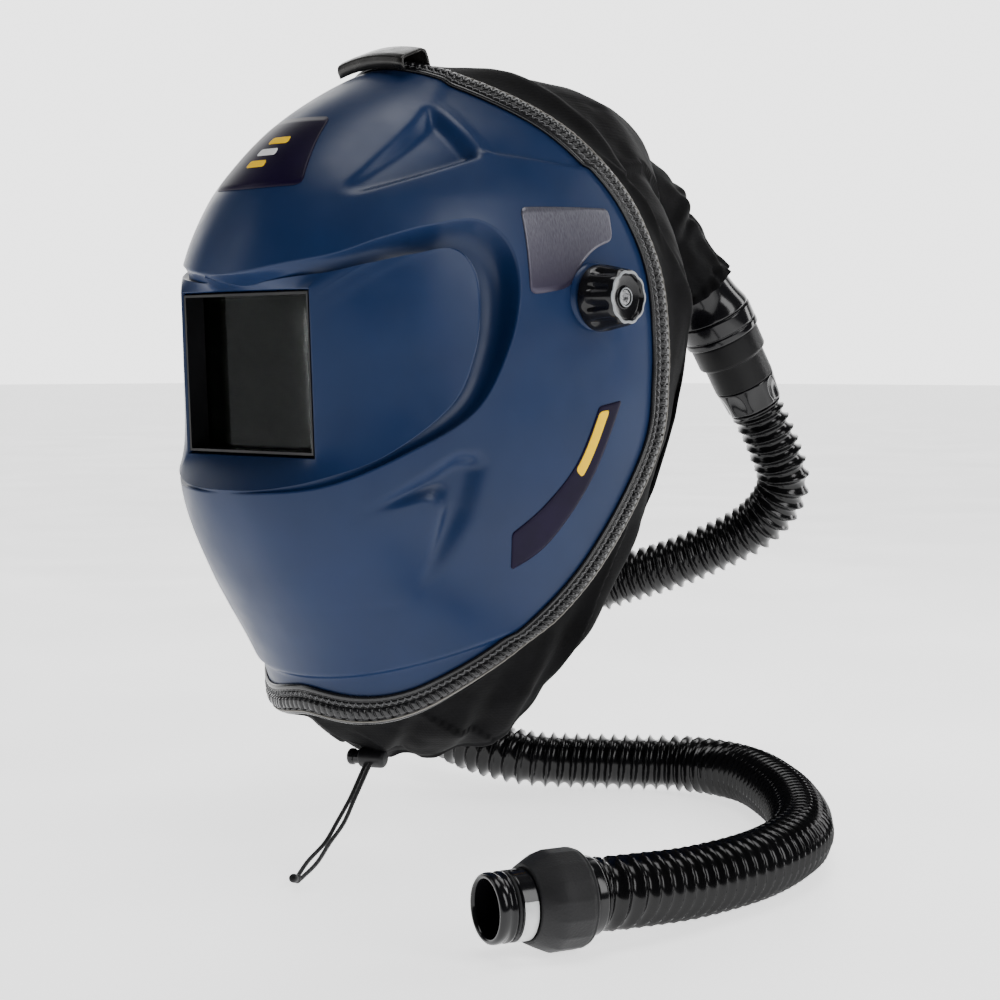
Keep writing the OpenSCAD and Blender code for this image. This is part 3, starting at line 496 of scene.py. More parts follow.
# Each point of the groove's far edge ends with the groove's depth there.
GROOVE = [[0, -169, 11, 0], [26, -166, 13, 1], [58, -148, 20, 3], [74, -124, 29, 6], [86, -99, 37, 10],
          [95, -73, 40, 13], [102, -57, 28, 15], [106, -53, 5, 15], [106, -61, -27, 13], [101, -82, -61, 9],
          [84, -119, -83, 5], [60, -148, -98, 2.5], [27, -166, -103, 1], [0, -168.5, -104, 0]]
RIM = [[0, -47, 133], [30, -36, 126], [55, -19, 112], [80, 4, 95], [98, 24, 72], [110, 43, 42], [114, 54, 15],
       [116, 58, -12], [116, 58, -45], [115, 50, -84], [111, 8, -143], [98, -35, -186], [68, -76, -218],
       [0, -114, -233]]
# How far the panel's upper edge lies under the brow, for the first of its points.
LEDGE = [13.0, 9.5, 1.5]
PER = 24


def slice_at(z):
    """Front, half width and roundness of the shield at each height."""
    i = np.clip(np.searchsorted(SLICES[:, 0], z, side="right") - 1, 0, len(SLICES) - 2)
    a, b = SLICES[i], SLICES[i + 1]
    lo, hi = SLICES[np.maximum(i - 1, 0)], SLICES[np.minimum(i + 2, len(SLICES) - 1)]
    sa = (b - lo) / (b[..., :1] - lo[..., :1])
    sb = (hi - a) / (hi[..., :1] - a[..., :1])
    h = b[..., :1] - a[..., :1]
    u = (z[..., None] - a[..., :1]) / h
    v = 1 - u
    return a * (1 + 2 * u) * v * v + sa * h * u * v * v + b * u * u * (3 - 2 * u) - sb * h * u * u * v


def reach(aim):
    """Distance from CENTRE to the shield along each direction, by halving."""
    lo, hi = np.full(aim.shape[:-1], 60.0), np.full(aim.shape[:-1], 300.0)
    for _ in range(20):
        m = (lo + hi) / 2
        p = CENTRE + aim * m[..., None]
        s = slice_at(np.clip(p[..., 2], SLICE_LOW, SLICE_HIGH))
        depth = np.maximum(SLICE_BACK - p[..., 1], 0) / (SLICE_BACK - s[..., 1])
        out = (np.abs(p[..., 0]) / s[..., 2]) ** s[..., 3] + depth ** s[..., 3] > 1
        out = out | (p[..., 2] > SLICE_HIGH) | (p[..., 2] < SLICE_LOW)
        lo, hi = np.where(out, lo, m), np.where(out, m, hi)
    return (lo + hi) / 2


def on_shield(p, down=0.0):
    aim = unit(p - CENTRE)
    return CENTRE + aim * (reach(aim) - down)[..., None]


def loop(half, smooth=True):
    """A closed outline from its left half: PER columns between two of its points."""
    half = np.array(half, float)
    flipped = half[-2:0:-1].copy()
    flipped[:, 0] *= -1
    p = np.vstack([half, flipped])
    t = (np.arange(PER) / PER)[None, :, None]
    a, b, c, d = (np.roll(p, k, 0)[:, None] for k in (1, 0, -1, -2))
    made = curve(a, b, c, d, t) if smooth else mix(b, c, t)
    return made.reshape(-1, p.shape[1])


def window_outline():
    return [[HALF_WINDOW * across, WINDOW_FRONT + WINDOW_H * down * WINDOW_LEAN, WINDOW_TOP - WINDOW_H * down]
            for across, down in WINDOW_SHARES]


def signed_gap(y, z, corners):
    """Distance to the edge of any outline in side view; positive inside."""
    best, inside = np.full(y.shape, 1e9), np.zeros(y.shape, bool)
    for a, b in zip(corners, corners[1:] + corners[:1]):
        dy, dz = b[0] - a[0], b[1] - a[1]
        t = np.clip(((y - a[0]) * dy + (z - a[1]) * dz) / (dy * dy + dz * dz), 0, 1)
        best = np.minimum(best, np.hypot(y - a[0] - dy * t, z - a[1] - dz * t))
        if dz:
            inside ^= ((a[1] > z) != (b[1] > z)) & (y < a[0] + (z - a[1]) * dy / dz)
    return np.where(inside, best, -best)


def inside_by(y, z, corners):
    """How far a point lies inside a convex outline in side view; negative outside."""
    best = np.full(y.shape, 1e9)
    for a, b in zip(corners, corners[1:] + corners[:1]):
        edge = np.array([b[0] - a[0], b[1] - a[1]])
        edge = edge / np.linalg.norm(edge)
        best = np.minimum(best, edge[0] * (z - a[1]) - edge[1] * (y - a[0]))
    return best


CHEEK_OUT = [(-175, -136), (-128, -105), (-94, -81), (-80, -82), (-74, -90), (-80, -117), (-89, -139),
             (-107, -175), (-175, -175)]
CHEEK_IN = [(-150, -124), (-128, -113), (-109, -106), (-104, -105.5), (-101, -108), (-99.5, -113),
            (-101, -130), (-106, -160), (-150, -165)]
CHEEK_DEPTH = 6.0
SCOOP_TIP, SCOOP_LOW, SCOOP_HIGH = (-140.0, 48.5), (-59.0, 74.0), (-66.0, 104.0)
SCOOP_DEPTH, SCOOP_LIP = 8.5, 1.2
FACET = [(-57.0, 77.0), (0.0, 72.0), (40.0, 72.0), (40.0, 125.0), (-41.0, 121.0), (-64.0, 105.0)]
FACET_DEPTH = 1.8
CHIN_DEPTH = 2.5
# The scoops and facets keep this far from the middle.
CROWN_FLAT = 38


def scoop(y, z):
    """The wedge high on each side: deepest at its back wall, with a raised lip behind it."""
    tip, low, high = (np.array(p) for p in (SCOOP_TIP, SCOOP_LOW, SCOOP_HIGH))
    ey, ez = y - tip[0], z - tip[1]
    wall = high - low
    base = low - tip
    det = ey * wall[1] - ez * wall[0]
    safe = np.where(np.abs(det) < 1e-6, 1e-6, det)
    t = safe / (base[0] * wall[1] - base[1] * wall[0])
    v = (ez * base[0] - ey * base[1]) / safe
    sides = ramp(v / 0.22 + 0.06) * ramp((1 - v) / 0.10)
    ahead = (ey > 0) & (t > 0)
    dip = SCOOP_DEPTH * np.clip(t, 0, 1.1) * sides * ramp((1.035 - t) / 0.06) * ramp((t - 0.10) / 0.10)
    lip = SCOOP_LIP * ramp((v + 0.06) / 0.12) * ramp((1.0 - v) / 0.12) * np.exp(-((t - 1.08) / 0.03) ** 2)
    return np.where(ahead, dip - lip, 0.0)


def chin_step(p):
    """The chin is set back under a line that rises toward the ears."""
    y, z = p[..., 1], p[..., 2]
    return CHIN_DEPTH * ramp((-206 + (y + 118) * 0.357 - z) / 3.5) * ramp((-20 - y) / 20)


def dents(p):
    y, z = p[..., 1], p[..., 2]
    depth = CHEEK_DEPTH * ramp(signed_gap(y, z, CHEEK_OUT) / 11.0) * ramp(-signed_gap(y, z, CHEEK_IN) / 5.0)
    depth = depth * ramp((y + 150) / 35) * ramp((z + 172) / 50)
    high = scoop(y, z) + FACET_DEPTH * ramp(inside_by(y, z, FACET) / 2.5)
    return depth + np.where(np.abs(p[..., 0]) > CROWN_FLAT, high, 0.0) + chin_step(p)


GROOVE_F = [0, 0.012, 0.03, 0.055, 0.085, 0.13, 0.2, 0.32, 0.46, 0.58, 0.68, 0.76, 0.83, 0.89, 0.94, 0.975, 1]
GROOVE_D = [0, 0.16, 0.52, 0.82, 0.93, 0.98, 1, 1, 0.99, 0.96, 0.91, 0.83, 0.71, 0.52, 0.29, 0.10, 0]
GROOVE_DEEPER = 1.2
WINDOW_F = [0, 0.015, 0.05, 0.13, 0.25, 0.4, 0.55, 0.7, 0.82, 0.91, 0.96, 0.985]
SIDE_STEPS = 100


def shield_rings():
    """Rings of outer points from the window to the rim."""
    window, panel, groove, rim = loop(window_outline(), False), loop(PANEL), loop(GROOVE), loop(RIM)
    groove, groove_depth = groove[:, :3], np.maximum(groove[:, 3], 0)
    ledge = np.abs(loop([[v] for v in LEDGE] + [[0]] * (len(PANEL) - len(LEDGE)))[:, 0])
    gap = reach(unit(window - CENTRE)) - np.linalg.norm(window - CENTRE, axis=1)
    rings = [on_shield(mix(window, panel, f), mix(gap, ledge, f)) for f in WINDOW_F]
    for f, share in zip(GROOVE_F, GROOVE_D):
        down = ledge * (1 - ramp(f / 0.85)) + groove_depth * GROOVE_DEEPER * share
        rings.append(on_shield(mix(panel, groove, f), down))
    width = np.linalg.norm(on_shield(rim) - on_shield(groove), axis=1)
    part = (1 - TRIM_W / width)[:, None]
    side = np.array([on_shield(mix(groove, rim, k / SIDE_STEPS * part)) for k in range(1, SIDE_STEPS + 1)])
    depth = dents(side)
    for _ in range(2):
        depth[1:-1] = (depth[:-2] + 2 * depth[1:-1] + depth[2:]) / 4
        depth = (np.roll(depth, 1, 1) + 2 * depth + np.roll(depth, -1, 1)) / 4
    rings += list(side - unit(side - CENTRE) * depth[..., None])
    edge = on_shield(rim)
    rings.append(edge - unit(edge - CENTRE) * chin_step(rim)[:, None])
    return np.array(rings)


def soften(rings, start):
    """Evens out the rings from start on, so that the surface flows, and keeps the last ones."""
    inner = rings[start:-3]
    around = (np.roll(inner, 1, 1) + np.roll(inner, -1, 1)) / 2
    rings[start:-3] = inner * 0.6 + around * 0.4
    return rings


def make_shell(rings, material):
    inner = rings[sorted({*range(0, len(rings), INNER_EVERY), len(rings) - 1})]
    inner = inner - unit(inner - CENTRE) * SHIELD_WALL
    points, faces = shell_between(rings, inner, True)
    stand_for(make_piece("shield_moulding", points, faces, material, "shield"), "shield_shell")


# ---- edge trim ----
RIB_PITCH, RIB_RISE = 4.1, 1.5
THREAD_R, PIPING_R = 0.26, 0.5
RIB_STEPS = [(0.0, 0.0), (0.3, 0.75), (0.7, 1.0), (2.7, 1.0), (3.1, 0.75), (3.4, 0.0), (3.8, 0.0)]
# Section of the trim: distance from its front edge, height, rib share and puckering share.
TRIM_SECTION = [
    (0.0, 0.35, 0, 0), (0.05, 1.3, 0, 0), (0.5, 1.9, 0, 0), (1.6, 2.15, 0, 0), (2.8, 2.0, 0, 0),
    (3.1, 1.3, 0, 0), (3.5, 1.9, 0, 0.5), (4.2, 2.3, 0, 1), (5.0, 2.3, 0, 1), (5.8, 1.9, 0, 0.5),
    (6.2, 1.3, 0, 0), (6.5, 1.8, 0.5, 0), (7.1, 2.2, 1, 0), (9.2, 2.6, 1, 0), (11.7, 2.2, 1, 0),
    (12.3, 1.8, 0.5, 0), (12.7, 1.3, 0, 0), (15.2, 1.3, 0, 0), (16.0, 0.2, 0, 0), (16.3, -2.2, 0, 0),
    (15.6, -5.0, 0, 0), (13.0, -6.3, 0, 0), (8.0, -6.4, 0, 0), (7.6, -4.4, 0, 0), (12.8, -4.0, 0, 0),
    (13.4, -2.0, 0, 0), (13.3, 0.2, 0, 0)]


class TrimLine:
    """The rim as a line with, at each place, the front edge a, the way back s and the way out n."""

    def __init__(self, rings):
        a, b = rings[-2], rings[-1]
        length = np.linalg.norm(np.roll(b, -1, 0) - b, axis=1)
        self.along = np.concatenate([[0], np.cumsum(length)])
        self.total = self.along[-1]
        s = unit(b - a)
        tangent = unit(np.roll(b, -1, 0) - np.roll(b, 1, 0))
        n = unit(np.cross(tangent, s))
        n = n * np.sign(np.sum(n * (b - CENTRE), axis=1))[:, None]
        self.tables = {"a": a, "s": s, "n": n}
        self.width = np.linalg.norm(b - a, axis=1)

    def read(self, key, where):
        table = np.vstack([self.tables[key], self.tables[key][:1]])
        return np.stack([np.interp(where % self.total, self.along, table[:, k]) for k in range(3)], 1)

    def point(self, where, back, height):
        """Points at a distance along the rim, back from the trim's front edge and up from the shell."""
        width = np.interp(where % self.total, self.along, np.append(self.width, self.width[:1]))
        back = np.asarray(back) * width / TRIM_W
        return (self.read("a", where) + unit(self.read("s", where)) * back[:, None]
                + unit(self.read("n", where)) * np.asarray(height)[:, None])


def make_trim(line, looks):
    count = int(line.total // RIB_PITCH)
    pitch = line.total / count
    scale = pitch / RIB_PITCH
    where, lift = [], []
    for k in range(count):
        wobble = 0.10 * math.sin(k * 2.4) + 0.06 * math.sin(k * 5.1)
        for step, rise in RIB_STEPS:
            where.append(k * pitch + step * scale)
            lift.append(rise * (0.85 + wobble))
    where, lift = np.array(where), np.array(lift)
    pucker = 0.25 * np.abs(np.sin(where / pitch * math.pi)) + 0.08 * np.sin(where * 0.7)
    rings = [line.point(where, np.full(len(where), back), height + RIB_RISE * rib * lift + puck * pucker)
             for back, height, rib, puck in TRIM_SECTION]
    rings = np.array(rings).transpose(1, 0, 2)
    faces = grid_faces(*rings.shape[:2], True, 0, True)
    stand_for(make_piece("edge_trim", rings.reshape(-1, 3), faces, looks["trim"], "shield"), "rim_trim")
    steps = np.arange(count * 4)
    zig = np.array([3.5, 4.6, 5.8, 4.6])[steps % 4]
    path = line.point(steps * pitch / 4, zig, np.array([2.05, 2.75])[steps % 2])
    rings = sweep(np.vstack([path, path[:1]]), THREAD_R, 6)
    closed_tube("trim_stitching", rings, looks["thread"], "shield")
    where = np.linspace(0, line.total, 480)
    path = line.point(where, np.full(480, 13.9), 1.9 + 0.15 * np.sin(where * 0.9))
    closed_tube("trim_piping", sweep(path, PIPING_R, 8), looks["piping"], "shield")


def make_rim_clip(material):
    """A folded sheet clip over the crown: a flat top with a rolled front edge and a leg behind."""
    section = rounded([
        (-10.8, -2.6), (-11.6, 1.6), (-10.4, 4.6), (-7.0, 5.6), (7.4, 5.8), (10.2, 4.2), (10.7, 0),
        (10.6, -8.6), (9.3, -8.6), (9.2, 0), (8.4, 3.2), (6.6, 4.3), (-6.8, 4.2), (-9.2, 3.4), (-10.2, 1.4),
        (-9.6, -2.6)], 1.0, 4)
    place = turned([0, -51.4, 133.9], 0, 20)
    half, rows = 26.0, []
    for x in [-half, -half + 0.4, -half + 1.2, -half + 3, *np.linspace(-20, 20, 9),
              half - 3, half - 1.2, half - 0.4, half]:
        end = max(0.0, abs(x) - (half - 1.2)) / 1.2
        grow = 1 - 0.04 * end * end
        sag = -3.2 * (x / half) ** 2
        rows.append(place.at(np.stack([np.full(len(section), x), section[:, 0] * grow,
                                       section[:, 1] * grow + sag], 1)))
    stand_for(closed_tube("crown_clip", np.array(rows), material, "shield"), "rim_clip")


# ---- labels ----
def side_place(y, z, lift):
    """Points on the shield's left side over side-view places, lifted off the surface."""
    s = slice_at(z)
    share = np.maximum(SLICE_BACK - y, 0) / (SLICE_BACK - s[..., 1])
    x = s[..., 2] * np.maximum(1 - share ** s[..., 3], 0) ** (1 / s[..., 3])
    p = np.stack([x, y, z], -1)
    out = unit(np.stack([x, (y - SLICE_BACK) * 0.35, np.zeros_like(x)], -1))
    return p + out * np.asarray(lift)[..., None]


def plate(name, upper, lower, put, lift, radius, material, mirror=False):
    """A thin film between two edge lines, with its corners cut round, laid by put(u, v, lift)."""
    count = 240
    upper, lower = (even_line(np.column_stack([smooth_line(p, 10), np.zeros((len(p) - 1) * 10 + 1)]), count)
                    for p in (upper, lower))
    length = open_length(mix(upper, lower, 0.5)[:, :2])
    ends = 0.12
    share = np.concatenate([np.linspace(0, ends, 12)[:-1], np.linspace(ends, 1 - ends, 36),
                            np.linspace(1 - ends, 1, 13)[1:]])
    top, low = (np.stack([np.interp(share * (count - 1), np.arange(count), line[:, k]) for k in (0, 1)], 1)
                for line in (upper, lower))
    near = np.clip(np.minimum(share, 1 - share) * length, 0, radius)
    cut = (radius - np.sqrt(radius ** 2 - (radius - near) ** 2)) / np.linalg.norm(top - low, axis=1)
    across = cut + (1 - 2 * cut) * np.linspace(0, 1, 14)[:, None]
    flat = mix(top[None], low[None], across[..., None])
    u, v = flat[..., 0], flat[..., 1]
    height = np.full(u.shape, 0.6 * lift)
    height[1:-1, 1:-1] = lift
    points, faces = shell_between(put(u, v, height), put(u, v, np.full(u.shape, 0.05)), False)
    if mirror:
        points = points * np.array([-1.0, 1.0, 1.0])
    return make_piece(name, points, faces, material, "shield")


# How far a film stands off the shell, and one that lies on another film.
FILM, FILM_OVER = 0.5, 0.7
SIDE_UPPER = [(-46, 47.5), (-30, 48.3), (-14, 48.9), (2, 49.3), (17.5, 49.5)]
SIDE_LOWER = [(-47, 1), (-34, 2.5), (-19, 6.5), (-8, 19), (3, 27), (17, 32)]
STRIP_TOP = [(-57, -126), (-36, -111), (-14, -89), (2, -59)]
STRIP_LOW = [(-55, -146), (-32, -132), (-2, -97), (20, -56)]


def part_of_strip(start, end, near, far):
    """Two edge lines of part of the curved strip: shares along it, and shares across it."""
    top, low = smooth_line(STRIP_TOP, 8), smooth_line(STRIP_LOW, 8)
    k = np.linspace(start, end, 9) * (len(top) - 1)
    top, low = (np.stack([np.interp(k, np.arange(len(line)), line[:, c]) for c in (0, 1)], 1)
                for line in (top, low))
    return mix(top, low, near), mix(top, low, far)


def brow_place(x, z, lift):
    s = slice_at(z)
    half, round_ = s[..., 2], s[..., 3]
    y = SLICE_BACK - (SLICE_BACK - s[..., 1]) * (1 - (np.abs(x) / half) ** round_) ** (1 / round_)
    out = unit(np.stack([x * 0.3, np.full_like(x, -60.0), np.full_like(x, 33.0)], -1))
    return np.stack([x, y, z], -1) + out * np.asarray(lift)[..., None]


def make_labels(looks):
    stand_for(plate("brow_film", [(-21, 96), (0, 96.5), (21, 96)], [(-35, 57), (0, 56), (35, 57)],
                    brow_place, FILM, 4, looks["film"]), "brow_label")
    for k, look in enumerate(("yellow", "white", "yellow")):
        low = 68 + 6.5 * k
        shift = 2.5 * (k - 1)
        bar = plate(f"brow_mark_{k + 1}", [(-6.5 + shift, low + 4), (6.5 + shift, low + 4)],
                    [(-7.5 + shift, low), (7.5 + shift, low)], brow_place, FILM_OVER, 1.4, looks[look])
    for side, mirror in (("left", False), ("right", True)):
        label = plate(f"side_film_{side}", SIDE_UPPER, SIDE_LOWER, side_place, FILM, 4,
                      looks["brushed"], mirror)
        strip = plate(f"strip_film_{side}", STRIP_TOP, STRIP_LOW, side_place, FILM, 1.5,
                      looks["film"], mirror)
        block = plate(f"strip_block_{side}", *part_of_strip(0.62, 0.95, 0.08, 0.55), side_place, FILM_OVER,
                      2.5, looks["yellow"], mirror)
        if side == "left":
            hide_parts("side_labels")
            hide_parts("strip_labels")


# ---- side knobs ----
KNOB_X, KNOB_SEAT_X, KNOB_FLUTES = 115.6, 108, 10


def knob_shape(angle, z, r):
    """Broad flutes that are deepest half way up the knob's side."""
    wave = 0.5 - 0.5 * np.cos(angle * KNOB_FLUTES)
    side = ramp((r - 11.0) / 3.0)
    depth = 2.1 * ramp((z - 2.5) / 5.0) * side * (1 - 0.65 * ramp((z - 14.0) / 7.0))
    return r - depth * wave ** 1.6


def make_knobs(looks):
    for side, sign in (("left", 1), ("right", -1)):
        axes = [0, 1, 0], [0, 0, 1], [sign, 0, 0]
        place = Place([sign * KNOB_X, 0, 0], *axes)
        body, node = f"{side}_knob", f"knob_{side}"
        profile = rounded([
            (4.1, 0.2), (17.6, 0.0), (18.5, 1.2), (18.3, 5.0), (17.4, 9.5), (15.6, 19.0), (14.6, 21.4),
            (13.4, 21.7), (12.4, 20.6), (11.8, 19.2), (5.9, 18.2), (5.4, 19.6), (4.4, 19.6), (4.1, 18.4)],
            0.9, 4)
        stand_for(lathe(node + "_grip", place, profile, looks["gloss"], body, 160, knob_shape, True), node)
        profile = rounded([(13.0, 21.45), (13.2, 21.85), (14.3, 21.75), (14.75, 21.2), (14.2, 21.1)], 0.25, 3)
        # A light grey ring on the rim of the knob's face: a painted highlight as well as wear.
        lathe(node + "_rim_highlight_and_wear", place, profile, looks["highlight_and_wear"], body, 160, knob_shape, True)
        profile = rounded([(4.5, 19.5), (4.6, 19.85), (5.2, 19.85), (5.35, 19.5)], 0.15, 2)
        # A light grey ring round the boss: a painted highlight as well as wear.
        lathe(node + "_boss_ring", place, profile, looks["highlight_and_wear"], body, 64, None, True)
        profile = rounded([(17.0, -1.0), (19.5, 4.0), (18.2, 6.0), (16.8, 7.0), (8.2, 7.0)], 0.8, 4)
        seat_place = Place([sign * KNOB_SEAT_X, 0, 0], *axes)
        lathe(f"knob_seat_{side}", seat_place, profile, looks["shell"], "shield")
        profile = rounded([(0.02, 17.6), (3.1, 17.4), (3.7, 16.8), (3.7, 12.0)], 0.3, 3)
        lathe(f"bolt_end_{side}", place, profile, looks["steel"], "headgear", 48)


# ---- hood ----
HOOD_COLUMNS = [
    (0.0, [[0, -10, 135], [0, 30, 133.5], [0, 84, 130], [0, 134, 114], [0, 160, 76], [0, 160, 20],
           [0, 150, -40], [0, 128, -96], [0, 104, -140]]),
    (1.2, [[35, -2, 127.5], [36, 34, 126], [38, 82, 122], [40, 124, 106], [40, 146, 69], [42, 146, 18],
           [42, 136, -40], [40, 116, -96], [38, 94, -142]]),
    (2.5, [[65, 18, 107], [66, 46, 105], [68, 82, 97], [70, 106, 80], [71, 118, 54], [72, 122, 14],
           [71, 116, -40], [67, 100, -96], [60, 80, -146]]),
    (3.6, [[90, 40, 76], [90, 60, 69], [91, 82, 58], [91, 96, 46], [91, 102, 28], [91, 104, 0],
           [90, 100, -42], [84, 86, -98], [72, 66, -152]]),
    (5.2, [[107, 62, 30], [106, 74, 14], [106, 84, 8], [105, 92, 2], [104, 94, -8], [103, 94, -24],
           [101, 88, -56], [92, 74, -106], [78, 52, -160]]),
    (7.2, [[110, 67, -30], [107, 78, -44], [102, 84, -64], [97, 80, -90], [90, 68, -122], [80, 50, -164]]),
    (8.5, [[109, 60, -80], [102, 68, -94], [93, 64, -122], [86, 54, -148], [80, 46, -170]]),
    (9.3, [[106, 38, -112], [98, 50, -132], [88, 47, -156], [78, 38, -178]]),
    (10.2, [[96, 0, -162], [89, 14, -184], [80, 18, -200], [70, 14, -208]]),
    (11.2, [[84, -34, -195], [76, -16, -215], [66, -4, -228], [60, -2, -232]]),
    (12.0, [[66, -62, -215], [60, -38, -234], [52, -18, -245], [46, -12, -248]]),
    (12.5, [[36, -88, -230], [33, -66, -244], [27, -46, -254], [22, -34, -257]]),
    (13.0, [[0, -100, -236], [0, -80, -248], [0, -60, -257], [0, -46, -259]])]
HOOD_ROWS = 84
HOOD_PER = 20
HOOD_MIDDLE = np.array([0, 40.0, -20.0])
HOOD_CLOTH = 1.3


def crease(u, v, start, end, width, height):
    """A ridge or a valley along a line in the hood's own coordinates."""
    a, b = np.array(start, float), np.array(end, float)
    d = b - a
    t = np.clip(((u - a[0]) * d[0] + (v - a[1]) * d[1]) / (d @ d), 0, 1)
    gap = np.hypot(u - a[0] - d[0] * t, v - a[1] - d[1] * t)
    return height * np.exp(-(gap / width) ** 2) * (0.35 + 0.65 * np.sin(math.pi * np.clip(t, 0.04, 0.96)))


# Folds of the hood: from and to (column, share of the way to the hem), width and height in mm.
HOOD_FOLDS = [((0.6, 0.30), (2.6, 0.16), 0.16, 3.2), ((0.9, 0.40), (3.4, 0.30), 0.14, -3.0),
              ((1.6, 0.24), (3.4, 0.12), 0.10, -2.4), ((2.2, 0.55), (3.6, 0.34), 0.16, 3.6),
              ((0.3, 0.62), (2.4, 0.50), 0.16, -2.6), ((1.0, 0.78), (3.2, 0.64), 0.18, 3.0),
              ((3.6, 0.55), (5.4, 0.80), 0.16, 3.0), ((4.2, 0.35), (6.2, 0.62), 0.12, -2.4),
              ((6.4, 0.5), (8.0, 0.86), 0.16, 3.0), ((7.3, 0.35), (8.8, 0.72), 0.12, -2.8),
              ((8.4, 0.45), (9.9, 0.95), 0.15, 3.4), ((9.2, 0.35), (10.4, 0.80), 0.13, -3.4),
              ((9.9, 0.40), (10.9, 0.95), 0.12, 2.8), ((10.4, 0.25), (11.6, 0.85), 0.10, -3.0),
              ((10.9, 0.35), (12.0, 0.95), 0.10, 3.0)]


def tuck(u, v, start, end, width, height):
    """A fold that laps over: a sharp step on one side of a line and a long slope on the other."""
    a, b = np.array(start, float), np.array(end, float)
    d = b - a
    t = ((u - a[0]) * d[0] + (v - a[1]) * d[1]) / (d @ d)
    gap = ((u - a[0]) * d[1] - (v - a[1]) * d[0]) / np.linalg.norm(d)
    body = np.where(gap > 0, np.exp(-gap / (width * 2.5)), 0.0) * ramp(gap / (width * 0.9) + 0.5)
    return height * body * ramp(t / 0.25) * ramp((1 - t) / 0.25)


# Laps of the cloth: from and to (column, share of the way to the hem), width and height in mm.
HOOD_TUCKS = [((0.2, 0.10), (3.9, 0.16), 0.05, 6.0), ((3.5, 0.03), (1.2, 0.52), 0.05, -5.0),
              ((2.6, 0.02), (4.4, 0.34), 0.05, 4.5), ((10.6, 0.20), (9.9, 1.05), 0.10, 2.4),
              ((11.6, 0.25), (11.2, 1.05), 0.10, -2.0), ((6.4, 0.06), (8.6, 0.95), 0.05, 3.0)]


def hood_surface(line):
    """The hood from the trim to its hem, left half first, as a grid (rows, columns, 3)."""
    columns = []
    for k, points in HOOD_COLUMNS:
        where = np.array([line.along[min(int(round(k * PER)), len(line.along) - 1)]])
        start = line.point(where, np.array([12.0]), np.array([-3.4]))
        neck = line.point(where, np.array([17.5]), np.array([-2.2]))
        columns.append(even_line(smooth_line(np.vstack([start, neck, points]), 8), HOOD_ROWS))
    grid = smooth_line(np.array(columns), HOOD_PER)
    u = np.linspace(0, len(HOOD_COLUMNS) - 1, len(grid))[:, None]
    v = np.linspace(0, 1, HOOD_ROWS)[None]
    lift = np.zeros((len(grid), HOOD_ROWS))
    for start, end, width, height in HOOD_FOLDS:
        lift = lift + crease(u, v, start, end, width, height)
    for start, end, width, height in HOOD_TUCKS:
        lift = lift + tuck(u, v, start, end, width, height)
    gather = ramp((v - 0.35) / 0.65) * ramp((u - 9.6) / 1.8)
    lift = lift + 1.3 * gather * np.cos(u * 7.0 + 1.5 * np.sin(v * 5.0))
    lift = lift + 0.8 * ramp((v - 0.75) / 0.25) * np.cos(u * 5.0)
    lift = lift + value_noise(grid, 26.0, 3) * 1.5 + value_noise(grid, 11.0, 5) * 0.6
    casing = np.exp(-((v - 0.965) / 0.022) ** 2) * 1.6
    lift = (lift + casing) * ramp((v - 0.03) / 0.12)
    lift = lift * (1 - 0.6 * np.exp(-(u / 0.6) ** 2))
    grid = grid + outward(grid, HOOD_MIDDLE) * lift[..., None]
    flipped = grid[:0:-1] * np.array([-1.0, 1.0, 1.0])
    return np.concatenate([flipped, grid])


def make_hood(line, material):
    grid = hood_surface(line)
    inner = grid - outward(grid, HOOD_MIDDLE) * HOOD_CLOTH
    points, faces = shell_between(grid, inner, False)
    hood = make_piece("cloth_hood", points, faces, material, None)
    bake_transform(hood)
    stand_for(hood, "hood_back", "hood_gusset", "face_seal")


# ---- air sleeve, elbow and swivel coupling ----
COUPLE = turned([22, 226, -3], -17, 30)
COUPLE = Place(COUPLE.origin, COUPLE.axes[0], -COUPLE.axes[1], -COUPLE.axes[2])
ELBOW_R = 90.0
SLEEVE_CLOTH = 1.1
SLEEVE = [[5.5, 128, 80, 27, 0], [6, 143, 70, 32, 0.1], [7.4, 160, 58.5, 32.5, 0.4],
          [9.6, 177, 46, 29.5, 0.6], [12.9, 195, 31, 26.2, 0.9], [15.4, 204.5, 22.9, 24.0, 1.0],
          [16.6, 208.6, 19.4, 22.6, 1.0], [17.6, 211.6, 16.4, 23.2, 0.9], [18.6, 214.4, 13.0, 24.2, 1.0]]


def elbow_point(angle, out, around):
    """A point beside the elbow's bent centre line: angle back from the coupling, in degrees."""
    a = math.radians(angle)
    middle = np.array([0, ELBOW_R - ELBOW_R * math.cos(a), -ELBOW_R * math.sin(a)])
    radial = np.array([0, -math.cos(a), -math.sin(a)])
    return COUPLE.at(middle + out * (math.cos(around) * radial + math.sin(around) * np.array([1.0, 0, 0])))


